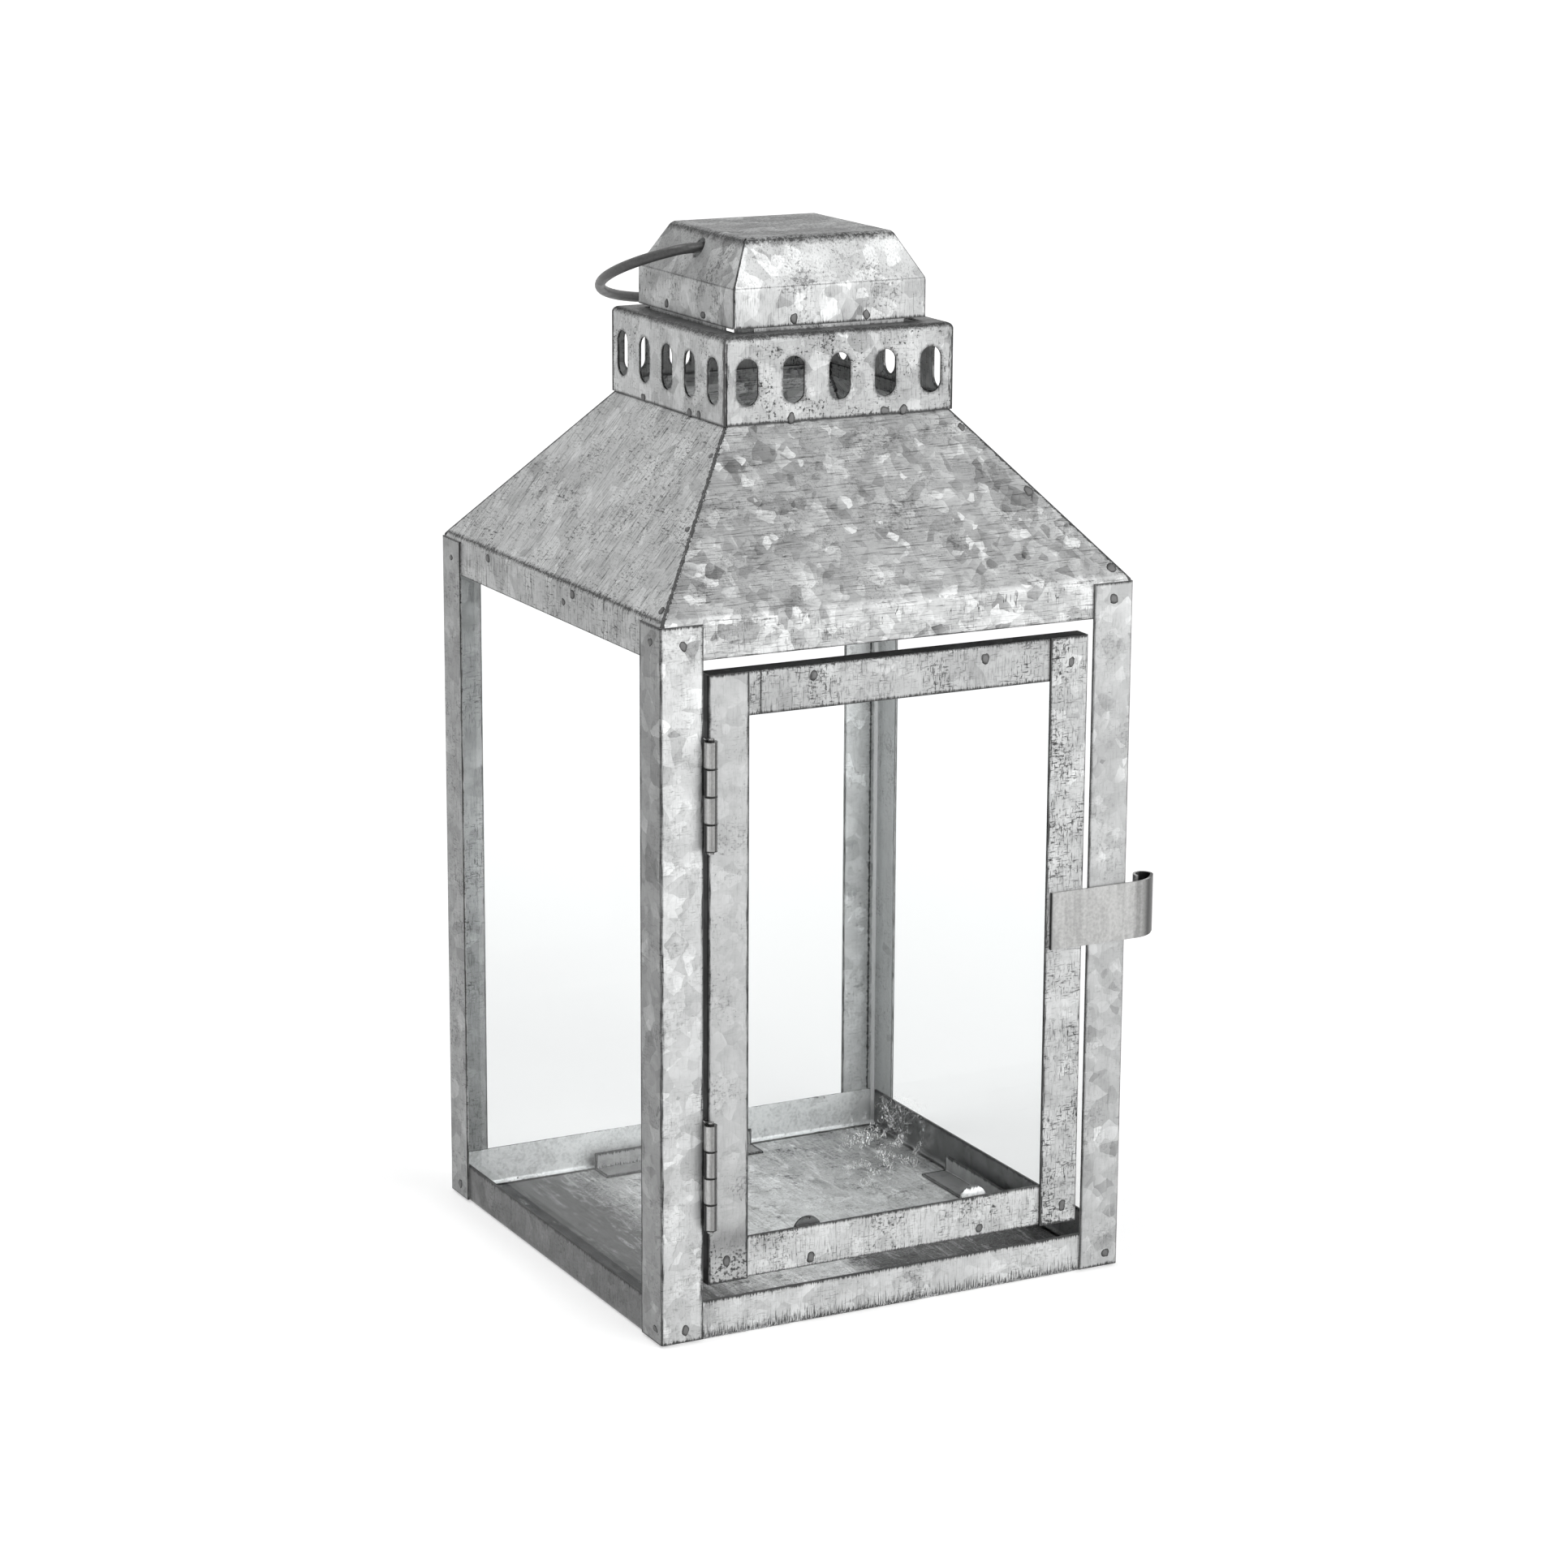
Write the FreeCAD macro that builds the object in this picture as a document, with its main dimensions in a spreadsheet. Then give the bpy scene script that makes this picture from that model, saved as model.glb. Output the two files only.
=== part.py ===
import FreeCAD, Part
import math
import os
import re
import Sketcher
from FreeCAD import Placement, Rotation, Vector

# Candle lantern of folded sheet with glass on four sides, a hinged door and a wire bail.
# Origin at the middle of the underside, +Z up, the door faces -Y, millimetres.

doc = FreeCAD.newDocument("CandleLantern")

# Driving dimensions, lengths in millimetres and angles in degrees
SIZES = {
    "half_width": 75.0,
    "sheet": 0.6,
    "fold_gap": 0.02,
    "fold_bend": 0.9,
    "post_leg": 13.0,
    "post_bottom": 0.8,
    "post_top": 207.1,
    "tray_wall": 12.0,
    "tray_bend": 1.6,
    "tray_notch": 2.2,
    "skirt_bottom": 197.0,
    "eave_height": 207.7,
    "eave_bend": 3.6,
    "roof_pitch": 50.0,
    "neck_top": 257.4,
    "tab_depth": 6.5,
    "tab_inset": 3.5,
    "collar_half": 36.5,
    "collar_bottom": 253.65,
    "collar_top": 278.6,
    "collar_bend": 1.8,
    "collar_seam": 0.35,
    "upstand_height": 7.6,
    "upstand_half": 24.0,
    "slot_width": 6.8,
    "slot_low": 258.9,
    "slot_high": 272.2,
    "slot_pitch": 14.65,
    "cap_half": 30.75,
    "cap_bottom": 279.7,
    "cap_skirt": 11.1,
    "cap_height": 24.4,
    "cap_pitch": 61.4,
    "cap_top_bend": 2.2,
    "cap_side_bend": 3.0,
    "cap_seam": 0.6,
    "hole_radius": 2.75,
    "bail_height": 299.0,
    "bail_rest": 19.8,
    "wire_radius": 1.5,
    "bail_ring": 41.4,
    "bail_shoulder": 7.0,
    "bail_straight": 27.5,
    "hook_bend": 3.0,
    "hook_inner": 19.0,
    "hook_length": 7.0,
    "glass": 2.0,
    "pane_inner": 70.6,
    "pane_top": 203.4,
    "pane_front": 72.8,
    "clip_length": 54.0,
    "clip_leg": 5.5,
    "clip_foot": 9.0,
    "right_clip_shift": -7.0,
    "tongue_width": 9.0,
    "tongue_shift": 13.85,
    "tongue_low": 198.0,
    "tongue_top": 206.4,
    "tongue_web": 204.2,
    "door_left": -60.6,
    "door_right": 60.3,
    "door_bottom": 16.8,
    "door_top": 192.8,
    "door_face": 75.3,
    "door_member": 12.5,
    "door_return": 6.5,
    "door_glass_side": 0.5,
    "hook_step": 3.8,
    "hook_offset": 27.5,
    "low_hook_tip": 13.6,
    "high_hook_tip": 9.4,
    "low_hook_end": 17.6,
    "high_hook_end": 190.6,
    "hook_lean": 1.3,
    "hinge_x": -60.9,
    "hinge_y": -77.45,
    "lower_hinge": 34.1,
    "upper_hinge": 144.0,
    "knuckle_radius": 1.85,
    "knuckle_length": 7.6,
    "knuckle_pitch": 7.8,
    "knuckle_throat": 2.75,
    "bore_radius": 1.0,
    "pin_radius": 0.95,
    "pin_end": 0.8,
    "leaf": 0.5,
    "post_leaf_foot": 7.6,
    "door_leaf_length": 8.2,
    "latch_sheet": 0.8,
    "latch_low": 101.0,
    "latch_height": 17.0,
    "latch_start": 49.2,
    "latch_straight": 78.0,
    "latch_turn_radius": 9.0,
    "latch_turn": 50.0,
    "latch_run": 2.0,
    "latch_curl_radius": 2.6,
    "latch_end_turn": -95.0,
    "latch_end": 1.3,
}

sizes = doc.addObject("Spreadsheet::Sheet", "Sizes")
for row, (alias, value) in enumerate(SIZES.items(), start=1):
    sizes.set(f"A{row}", alias)
    sizes.set(f"B{row}", str(value))
    sizes.setAlias(f"B{row}", alias)
doc.recompute()

parts = []


def bound(text):
    """Point every driving dimension named in an expression at its cell."""
    return re.sub(r"[a-z]\w*", lambda m: f"Sizes.{m[0]}" if m[0] in SIZES else m[0], text)


def number(text):
    """Value of an expression of driving dimensions."""
    return float(sizes.evalExpression(bound(text)))


def new_body(label):
    """Start a sub-part and list it for export."""
    body = doc.addObject("PartDesign::Body", label)
    body.Label = label
    parts.append(body)
    return body


def place(obj, x="0", y="0", z="0", axis=(0, 0, 1), turn=0):
    """Put a sub-part at a bound position, turned about one axis."""
    obj.Placement = Placement(Vector(0, 0, 0), Rotation(Vector(*axis), turn))
    for name, text in (("x", x), ("y", y), ("z", z)):
        obj.setExpression(f"Placement.Base.{name}", bound(text))


def new_sketch(body, name, plane="XY_Plane", offset="0"):
    """Sketch on an origin plane of the body, moved along the plane's normal."""
    sketch = body.newObject("Sketcher::SketchObject", name)
    support = [item for item in body.Origin.OriginFeatures if item.Role == plane][0]
    sketch.AttachmentSupport = [(support, "")]
    sketch.MapMode = "FlatFace"
    sketch.setExpression("AttachmentOffset.Base.z", bound(offset))
    return sketch


def hold(sketch, kind, text, *where):
    """Add a constraint whose value is a bound expression."""
    value = number(text)
    if kind == "Angle":
        value = math.radians(value)
        text = f"({text}) * 1 deg"
    index = sketch.addConstraint(Sketcher.Constraint(kind, *where, value))
    sketch.setExpression(f"Constraints[{index}]", bound(text))


def polygon(sketch, points):
    """Closed outline with every corner bound to its expressions."""
    spots = [Vector(number(x), number(y), 0) for x, y in points]
    first = sketch.GeometryCount
    count = len(spots)
    for step in range(count):
        sketch.addGeometry(Part.LineSegment(spots[step], spots[(step + 1) % count]))
    for step in range(count):
        after = first + (step + 1) % count
        sketch.addConstraint(Sketcher.Constraint("Coincident", first + step, 2, after, 1))
    for step, (x, y) in enumerate(points):
        hold(sketch, "DistanceX", x, first + step, 1)
        hold(sketch, "DistanceY", y, first + step, 1)
    return sketch


def square(sketch, half):
    """Square about the sketch origin."""
    low = f"-({half})"
    return polygon(sketch, [(low, low), (half, low), (half, half), (low, half)])


def circle(sketch, x, y, radius):
    """Bound circle."""
    index = sketch.addGeometry(Part.Circle(Vector(number(x), number(y), 0), Vector(0, 0, 1), number(radius)))
    hold(sketch, "DistanceX", x, index, 3)
    hold(sketch, "DistanceY", y, index, 3)
    hold(sketch, "Radius", radius, index)
    return sketch


def obround(sketch, x, low, high, width):
    """Upright slot with round ends."""
    radius = f"({width}) / 2"
    reach = number(radius)
    middle = number(x)
    bottom = number(low) + reach
    top = number(high) - reach
    normal = Vector(0, 0, 1)
    lower = Part.Circle(Vector(middle, bottom, 0), normal, reach)
    upper = Part.Circle(Vector(middle, top, 0), normal, reach)
    sketch.addGeometry(Part.ArcOfCircle(lower, math.pi, 2 * math.pi))
    sketch.addGeometry(Part.LineSegment(Vector(middle + reach, bottom, 0), Vector(middle + reach, top, 0)))
    sketch.addGeometry(Part.ArcOfCircle(upper, 0, math.pi))
    sketch.addGeometry(Part.LineSegment(Vector(middle - reach, top, 0), Vector(middle - reach, bottom, 0)))
    for one, other, end in ((0, 1, 1), (1, 2, 1), (2, 3, 1), (3, 0, 1)):
        sketch.addConstraint(Sketcher.Constraint("Tangent", one, 2, other, end))
    sketch.addConstraint(Sketcher.Constraint("Vertical", 1))
    hold(sketch, "Radius", radius, 0)
    hold(sketch, "DistanceX", x, 0, 3)
    hold(sketch, "DistanceX", x, 2, 3)
    hold(sketch, "DistanceY", f"{low} + {radius}", 0, 3)
    hold(sketch, "DistanceY", f"{high} - {radius}", 2, 3)
    return sketch


def feature(body, kind, name, sketch):
    """Sketch-based feature with its profile set."""
    made = body.newObject(f"PartDesign::{kind}", name)
    made.Profile = sketch
    return made


def pad(body, name, sketch, length, both=False):
    """Extrude a sketch along its normal, or half to each side."""
    made = feature(body, "Pad", name, sketch)
    made.setExpression("Length", bound(length))
    if both:
        made.SideType = "Symmetric"
    doc.recompute()
    return made


def pocket(body, name, sketch, length, both=False, reverse=False):
    """Cut a sketch against its normal, along it, or half to each side."""
    made = feature(body, "Pocket", name, sketch)
    made.setExpression("Length", bound(length))
    made.Reversed = reverse
    if both:
        made.SideType = "Symmetric"
    before = body.Shape.Volume
    doc.recompute()
    if body.Shape.Volume >= before:
        raise RuntimeError(f"{body.Label}: {name} removes nothing")
    return made


def edges_where(made, test, longer):
    """Names of a feature's edges over a length whose two ends pass a test."""
    found = []
    for index, edge in enumerate(made.Shape.Edges, start=1):
        ends = edge.Vertexes
        if edge.Length > longer and len(ends) == 2 and all(test(end.Point) for end in ends):
            found.append(f"Edge{index}")
    if not found:
        raise RuntimeError(f"{made.Label}: no edge to round")
    return found


def fillet(body, name, made, test, radius, longer=0):
    """Round the edges that pass a test."""
    rounded = body.newObject("PartDesign::Fillet", name)
    rounded.Base = (made, edges_where(made, test, longer))
    rounded.setExpression("Radius", bound(radius))
    doc.recompute()
    return rounded


def hollow(body, name, made, test):
    """Leave a wall one sheet thick and open the face that passes a test."""
    open_faces = []
    for index, face in enumerate(made.Shape.Faces, start=1):
        if test(face.CenterOfMass):
            open_faces.append(f"Face{index}")
    shell = body.newObject("PartDesign::Thickness", name)
    shell.Base = (made, open_faces)
    shell.setExpression("Value", bound("sheet"))
    shell.Reversed = True
    doc.recompute()
    return shell


def pattern(body, kind, name, original, axis, count, span):
    """Repeat a feature along or round an axis of its sketch or origin."""
    made = body.newObject(f"PartDesign::{kind}", name)
    made.Originals = [original]
    if kind == "LinearPattern":
        made.Direction = axis
        made.setExpression("Length", bound(span))
    else:
        made.Axis = axis
        made.setExpression("Angle", bound(span))
    made.Occurrences = count
    body.Tip = made
    doc.recompute()
    return made


def origin_axis(body, role):
    """Origin axis of a body as a link for patterns."""
    return ([item for item in body.Origin.OriginFeatures if item.Role == role][0], [""])


def near(value, text):
    """Whether a coordinate equals an expression."""
    return abs(value - number(text)) < 0.01


def fold_angle(body, name, made, x, y, along):
    """Round the outer and inner edge of an angle profile with one fold at (x, y)."""
    def at(point, a, b):
        one, two = {"z": (point.x, point.y), "x": (point.y, point.z)}[along]
        return abs(one - a) < 0.01 and abs(two - b) < 0.01

    outer = (number(x[0]), number(y[0]))
    inner = (number(x[1]), number(y[1]))
    made = fillet(body, f"{name}_outer", made, lambda p: at(p, *outer), "fold_bend")
    return fillet(body, f"{name}_inner", made, lambda p: at(p, *inner), "fold_bend - sheet")


# Base tray, a pan folded from one blank with notched corners
WALL = "(half_width - sheet)"

tray = new_body("base_tray")
tray_block = pad(tray, "tray_block", square(new_sketch(tray, "tray_plan"), WALL), "tray_wall")
tray_round = fillet(tray, "tray_bends", tray_block, lambda p: near(p.z, "0"), "tray_bend")
hollow(tray, "tray_hollow", tray_round, lambda c: near(c.z, "tray_wall"))
notch_plan = new_sketch(tray, "tray_notch_plan", offset="tray_wall")
notch_edge = f"({WALL} - tray_notch)"
polygon(notch_plan, [
    (notch_edge, notch_edge),
    ("half_width", notch_edge),
    ("half_width", "half_width"),
    (notch_edge, "half_width"),
])
tray_cut = pocket(tray, "tray_corner", notch_plan, "tray_wall * 2")
pattern(tray, "PolarPattern", "tray_corners", tray_cut, origin_axis(tray, "Z_Axis"), 4, "360")


# Corner posts, folded angles outside the tray and the roof skirts
def corner_post(label, turn):
    body = new_body(label)
    plan = polygon(new_sketch(body, f"{label}_plan"), [
        ("-half_width", "-half_width"),
        ("post_leg - half_width", "-half_width"),
        ("post_leg - half_width", "sheet - half_width"),
        ("sheet - half_width", "sheet - half_width"),
        ("sheet - half_width", "post_leg - half_width"),
        ("-half_width", "post_leg - half_width"),
    ])
    angle = pad(body, f"{label}_angle", plan, "post_top - post_bottom")
    edges = ("-half_width", "sheet - half_width")
    fold_angle(body, f"{label}_fold", angle, edges, edges, "z")
    place(body, z="post_bottom", turn=turn)


corner_post("corner_post_front_left", 0)
corner_post("corner_post_front_right", 90)
corner_post("corner_post_back_right", 180)
corner_post("corner_post_back_left", 270)

# Roof panels: skirt, slope and a short neck inside the collar, lapped at the hips
NECK = "(collar_half - sheet)"
DROP = "(1 - sin(roof_pitch)) / cos(roof_pitch)"
NECK_FOOT = "(eave_height + (half_width - collar_half) * tan(roof_pitch))"


def panel_line(depth):
    """Distance and height along a panel's section, at a depth below its outer face."""
    return [
        (f"({WALL} - {depth})", "skirt_bottom"),
        (f"({WALL} - {depth})", f"eave_height - {depth} * {DROP}"),
        (f"({NECK} - {depth})", f"{NECK_FOOT} - {depth} * {DROP}"),
        (f"({NECK} - {depth})", "neck_top"),
    ]


def slope_point(reach, depth):
    """Point of the slope at a distance from the middle, at a depth below the outer face."""
    height = f"eave_height + ({WALL} - {reach}) * tan(roof_pitch) - {depth} / cos(roof_pitch)"
    return (reach, height)


def beyond(line, far, sign):
    """Region past a panel's section line, out to a far distance."""
    lifted = [(line[0][0], "skirt_bottom - 1")] + line[1:3] + [(line[3][0], "neck_top + 1")]
    region = lifted + [(far, "neck_top + 1"), (far, "skirt_bottom - 1")]
    return [(f"{sign}({reach})", height) for reach, height in region]


def roof_panel(label, turn):
    body = new_body(label)
    outer = panel_line("0")
    under = panel_line("sheet")
    lap = "(sheet + fold_gap)"
    section = [(f"-{reach}", height) for reach, height in outer + under[::-1]]
    strip = polygon(new_sketch(body, f"{label}_section", "YZ_Plane"), section)
    sheet_pad = pad(body, f"{label}_sheet", strip, "half_width * 2", both=True)

    def at_bend(point, line):
        return near(point.y, f"-{line[1][0]}") and near(point.z, line[1][1])

    bend = fillet(body, f"{label}_eave", sheet_pad, lambda p: at_bend(p, outer), "eave_bend")
    fillet(body, f"{label}_eave_under", bend, lambda p: at_bend(p, under), "eave_bend - sheet")

    # The right-hand edge stops flush with the neighbour's outer face
    right = polygon(new_sketch(body, f"{label}_right_trim", "XZ_Plane"), beyond(outer, "half_width * 2", ""))
    pocket(body, f"{label}_right_edge", right, "half_width * 3", both=True)
    # The left-hand edge stops under the neighbour's sheet
    tucked = beyond(panel_line(lap), "half_width * 2", "-")
    left = polygon(new_sketch(body, f"{label}_left_trim", "XZ_Plane"), tucked)
    pocket(body, f"{label}_left_edge", left, "half_width * 3", both=True)

    # Tab folded under the neighbour along the left-hand hip
    low_reach = f"({WALL} - tab_inset)"
    high_reach = f"({NECK} + tab_inset)"
    corners = [
        slope_point(low_reach, lap),
        slope_point(high_reach, lap),
        slope_point(high_reach, f"({lap} + sheet)"),
        slope_point(low_reach, f"({lap} + sheet)"),
    ]
    tab = [(f"-{reach}", height) for reach, height in corners]
    tab_section = polygon(new_sketch(body, f"{label}_tab_section", "XZ_Plane"), tab)
    pad(body, f"{label}_tab", tab_section, "half_width")
    past = polygon(new_sketch(body, f"{label}_tab_outside", "YZ_Plane"), beyond(outer, "half_width * 2", "-"))
    pocket(body, f"{label}_tab_flush", past, "half_width * 3", both=True)
    too_deep = beyond(panel_line("tab_depth"), "-10", "-")
    deep = polygon(new_sketch(body, f"{label}_tab_inside", "YZ_Plane"), too_deep)
    pocket(body, f"{label}_tab_width", deep, "half_width * 3", both=True)
    place(body, turn=turn)


roof_panel("roof_panel_front", 0)
roof_panel("roof_panel_right", 90)
roof_panel("roof_panel_back", 180)
roof_panel("roof_panel_left", 270)

# Vent collar, a square sleeve with slots, a top flange and four upstands inside the cap
collar = new_body("vent_collar")
collar_height = "(collar_top - collar_bottom)"
collar_plan = square(new_sketch(collar, "collar_plan"), "collar_half")
collar_block = pad(collar, "collar_block", collar_plan, collar_height)
collar_round = fillet(collar, "collar_bends", collar_block, lambda p: near(p.z, collar_height), "collar_bend")
hollow(collar, "collar_hollow", collar_round, lambda c: near(c.z, "0"))
throat_half = "(cap_half - 2 * sheet - fold_gap)"
throat = square(new_sketch(collar, "collar_throat_plan", offset=collar_height), throat_half)
pocket(collar, "collar_throat", throat, "sheet * 3")
upstand_plan = new_sketch(collar, "collar_upstand_plan", offset=f"{collar_height} - sheet")
polygon(upstand_plan, [
    ("-upstand_half", throat_half),
    ("upstand_half", throat_half),
    ("upstand_half", f"{throat_half} + sheet"),
    ("-upstand_half", f"{throat_half} + sheet"),
])
upstand = pad(collar, "collar_upstand", upstand_plan, "upstand_height + sheet")
pattern(collar, "PolarPattern", "collar_upstands", upstand, origin_axis(collar, "Z_Axis"), 4, "360")
for side, plane in (("front", "XZ_Plane"), ("side", "YZ_Plane")):
    slot = new_sketch(collar, f"{side}_slot_shape", plane)
    obround(slot, "-2 * slot_pitch", "slot_low - collar_bottom", "slot_high - collar_bottom", "slot_width")
    slot_cut = pocket(collar, f"{side}_slot", slot, "collar_half * 3", both=True)
    pattern(collar, "LinearPattern", f"{side}_slots", slot_cut, (slot, ["H_Axis"]), 5, "4 * slot_pitch")
seam = new_sketch(collar, "collar_seam_plan")
polygon(seam, [
    ("-collar_half + sheet", "-collar_half - 1"),
    ("-collar_half + sheet + collar_seam", "-collar_half - 1"),
    ("-collar_half + sheet + collar_seam", "-collar_half + sheet"),
    ("-collar_half + sheet", "-collar_half + sheet"),
])
seam_cut = pocket(collar, "collar_seam_cut", seam, f"{collar_height} - collar_bend", reverse=True)
pattern(collar, "PolarPattern", "collar_seams", seam_cut, origin_axis(collar, "Z_Axis"), 4, "360")
place(collar, z="collar_bottom")

# Chimney cap, a hood folded from one blank with open corner seams
cap = new_body("chimney_cap")
cap_top_half = "(cap_half - (cap_height - cap_skirt) / tan(cap_pitch))"
cap_block = pad(cap, "cap_block", square(new_sketch(cap, "cap_plan"), "cap_half"), "cap_height")
cap_slopes = cap.newObject("PartDesign::Chamfer", "cap_slopes")
cap_slopes.Base = (cap_block, edges_where(cap_block, lambda p: near(p.z, "cap_height"), longer=2))
cap_slopes.ChamferType = "Two distances"
cap_slopes.setExpression("Size", bound("cap_height - cap_skirt"))
cap_slopes.setExpression("Size2", bound("(cap_height - cap_skirt) / tan(cap_pitch)"))
doc.recompute()
cap_shell = hollow(cap, "cap_hollow", cap_slopes, lambda c: near(c.z, "0"))


def cap_bend(name, made, level, radius):
    return fillet(cap, f"cap_{name}_bends", made, lambda p: near(p.z, level), radius, longer=2)


cap_crowned = cap_bend("top", cap_shell, "cap_height", "cap_top_bend")
cap_bend("top_under", cap_crowned, "cap_height - sheet", "cap_top_bend - sheet")
seam_plan = new_sketch(cap, "cap_seam_plan")
seam_half = "cap_seam / 2 * sqrt(2)"
seam_root = f"({cap_top_half} - cap_seam)"
polygon(seam_plan, [
    (seam_root, seam_root),
    (f"{seam_root} + {seam_half}", seam_root),
    (f"cap_half * 1.2 + {seam_half}", "cap_half * 1.2"),
    ("cap_half * 1.2", f"cap_half * 1.2 + {seam_half}"),
    (seam_root, f"{seam_root} + {seam_half}"),
])
cap_cut = pocket(cap, "cap_seam_cut", seam_plan, "cap_height * 2", reverse=True)
cap_open = pattern(cap, "PolarPattern", "cap_seams", cap_cut, origin_axis(cap, "Z_Axis"), 4, "360")
cap_folded = cap_bend("side", cap_open, "cap_skirt", "cap_side_bend")
cap_bend("side_under", cap_folded, "cap_skirt - sheet * tan(45 - cap_pitch / 2)", "cap_side_bend - sheet")
bail_hole = new_sketch(cap, "bail_hole_shape", "YZ_Plane")
circle(bail_hole, "0", "bail_height - cap_bottom", "hole_radius")
pocket(cap, "bail_holes", bail_hole, "cap_half * 3", both=True)
place(cap, z="cap_bottom")

# Bail, one wire swept through the two cap holes, drawn in its own plane and laid back
WIRE_SIDES = 10
bail = new_body("bail_handle")
ring_middle = "(bail_shoulder + sqrt((bail_ring - bail_shoulder) ^ 2 - bail_straight ^ 2))"
wire = new_sketch(bail, "bail_path")
hook_x = number("hook_inner")
hook_y = -number("hook_length")
bend = number("hook_bend")
straight = number("bail_straight")
shoulder = number("bail_shoulder")
ring = number("bail_ring")
middle = number(ring_middle)
lean = math.atan2(middle - shoulder, straight)
normal = Vector(0, 0, 1)


def arc(x, y, radius, start, end):
    return Part.ArcOfCircle(Part.Circle(Vector(x, y, 0), normal, radius), start, end)


wire.addGeometry(Part.LineSegment(Vector(-hook_x, hook_y, 0), Vector(-hook_x, -bend, 0)))
wire.addGeometry(arc(-hook_x - bend, -bend, bend, 0, math.pi / 2))
wire.addGeometry(Part.LineSegment(Vector(-hook_x - bend, 0, 0), Vector(-straight, 0, 0)))
wire.addGeometry(arc(-straight, shoulder, shoulder, math.pi + lean, 1.5 * math.pi))
wire.addGeometry(arc(0, middle, ring, -lean, math.pi + lean))
wire.addGeometry(arc(straight, shoulder, shoulder, -0.5 * math.pi, -lean))
wire.addGeometry(Part.LineSegment(Vector(straight, 0, 0), Vector(hook_x + bend, 0, 0)))
wire.addGeometry(arc(hook_x + bend, -bend, bend, math.pi / 2, math.pi))
wire.addGeometry(Part.LineSegment(Vector(hook_x, -bend, 0), Vector(hook_x, hook_y, 0)))
for one, one_end, other, other_end in (
    (0, 2, 1, 1), (1, 2, 2, 1), (2, 2, 3, 2), (3, 1, 4, 2),
    (4, 1, 5, 2), (5, 1, 6, 1), (6, 2, 7, 1), (7, 2, 8, 1),
):
    wire.addConstraint(Sketcher.Constraint("Tangent", one, one_end, other, other_end))
for line, end, side in ((0, 1, "-"), (8, 2, "")):
    wire.addConstraint(Sketcher.Constraint("Vertical", line))
    hold(wire, "DistanceX", f"{side}hook_inner", line, end)
    hold(wire, "DistanceY", "-hook_length", line, end)
for line, end, side in ((2, 2, "-"), (6, 1, "")):
    wire.addConstraint(Sketcher.Constraint("Horizontal", line))
    hold(wire, "DistanceX", f"{side}bail_straight", line, end)
    hold(wire, "DistanceY", "0", line, end)
for radius, turns in (("hook_bend", (1, 7)), ("bail_shoulder", (3, 5)), ("bail_ring", (4,))):
    for turn in turns:
        hold(wire, "Radius", radius, turn)
wire_turns = [corner * 360 / WIRE_SIDES for corner in range(WIRE_SIDES)]
wire_end = polygon(new_sketch(bail, "bail_wire", "XZ_Plane", "hook_length"), [
    (f"-hook_inner + wire_radius * cos({angle})", f"wire_radius * sin({angle})") for angle in wire_turns
])
bail_sweep = feature(bail, "AdditivePipe", "bail_sweep", wire_end)
bail_sweep.Spine = (wire, [])
doc.recompute()
place(bail, z="bail_height", axis=(1, 0, 0), turn=-number("bail_rest"))


# Glass panes standing in the tray, and the door's pane
def pane(label, wide, deep, high, x, y, z):
    box = doc.addObject("Part::Box", label)
    box.Label = label
    for name, text in (("Length", wide), ("Width", deep), ("Height", high)):
        box.setExpression(name, bound(text))
    place(box, x, y, z)
    parts.append(box)


pane_high = "pane_top - sheet"
pane_outer = "(pane_inner + glass)"
side_deep = "pane_front + pane_inner - 0.3"
pane("glass_left", "glass", side_deep, pane_high, f"-{pane_outer}", "-pane_front", "sheet")
pane("glass_right", "glass", side_deep, pane_high, "pane_inner", "-pane_front", "sheet")
pane("glass_back", f"2 * {pane_outer}", "glass", pane_high, f"-{pane_outer}", "pane_inner", "sheet")


# Floor clips, short angles against the inner face of each pane
def floor_clip(label, x, y, turn):
    body = new_body(label)
    section = polygon(new_sketch(body, f"{label}_section", "YZ_Plane"), [
        ("0", "0"),
        ("0", "clip_leg"),
        ("-sheet", "clip_leg"),
        ("-sheet", "sheet"),
        ("-clip_foot", "sheet"),
        ("-clip_foot", "0"),
    ])
    angle = pad(body, f"{label}_angle", section, "clip_length", both=True)
    fold_angle(body, f"{label}_fold", angle, ("0", "-sheet"), ("0", "sheet"), "x")
    place(body, x, y, "sheet", turn=turn)


floor_clip("floor_clip_back", "0", "pane_inner", 0)
floor_clip("floor_clip_left", "-pane_inner", "0", 90)
floor_clip("floor_clip_right", "pane_inner", "right_clip_shift", -90)


# Top clips, two tongues per pane from the skirt over the top edge of the glass
def top_clips(label, turn):
    body = new_body(label)
    body.AllowCompound = True
    skirt_inner = "(half_width - 2 * sheet)"
    lip = "(pane_inner - 0.1)"
    section = polygon(new_sketch(body, f"{label}_section", "YZ_Plane", "tongue_shift - clip_length / 2"), [
        (skirt_inner, "tongue_top"),
        (f"{skirt_inner} - sheet", "tongue_top"),
        (f"{skirt_inner} - sheet", "tongue_web"),
        (f"{lip} - sheet", "tongue_web"),
        (f"{lip} - sheet", "tongue_low"),
        (lip, "tongue_low"),
        (lip, "tongue_web - sheet"),
        (skirt_inner, "tongue_web - sheet"),
    ])
    tongue = pad(body, f"{label}_tongue", section, "tongue_width", both=True)
    pattern(body, "LinearPattern", f"{label}_pair", tongue, origin_axis(body, "X_Axis"), 2, "clip_length")
    place(body, turn=turn)


top_clips("top_clips_back", 0)
top_clips("top_clips_left", 90)
top_clips("top_clips_right", -90)

# Door frame, four folded angles; the stiles lie over the ends of the rails
door_high = "(door_top - door_bottom)"


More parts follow.
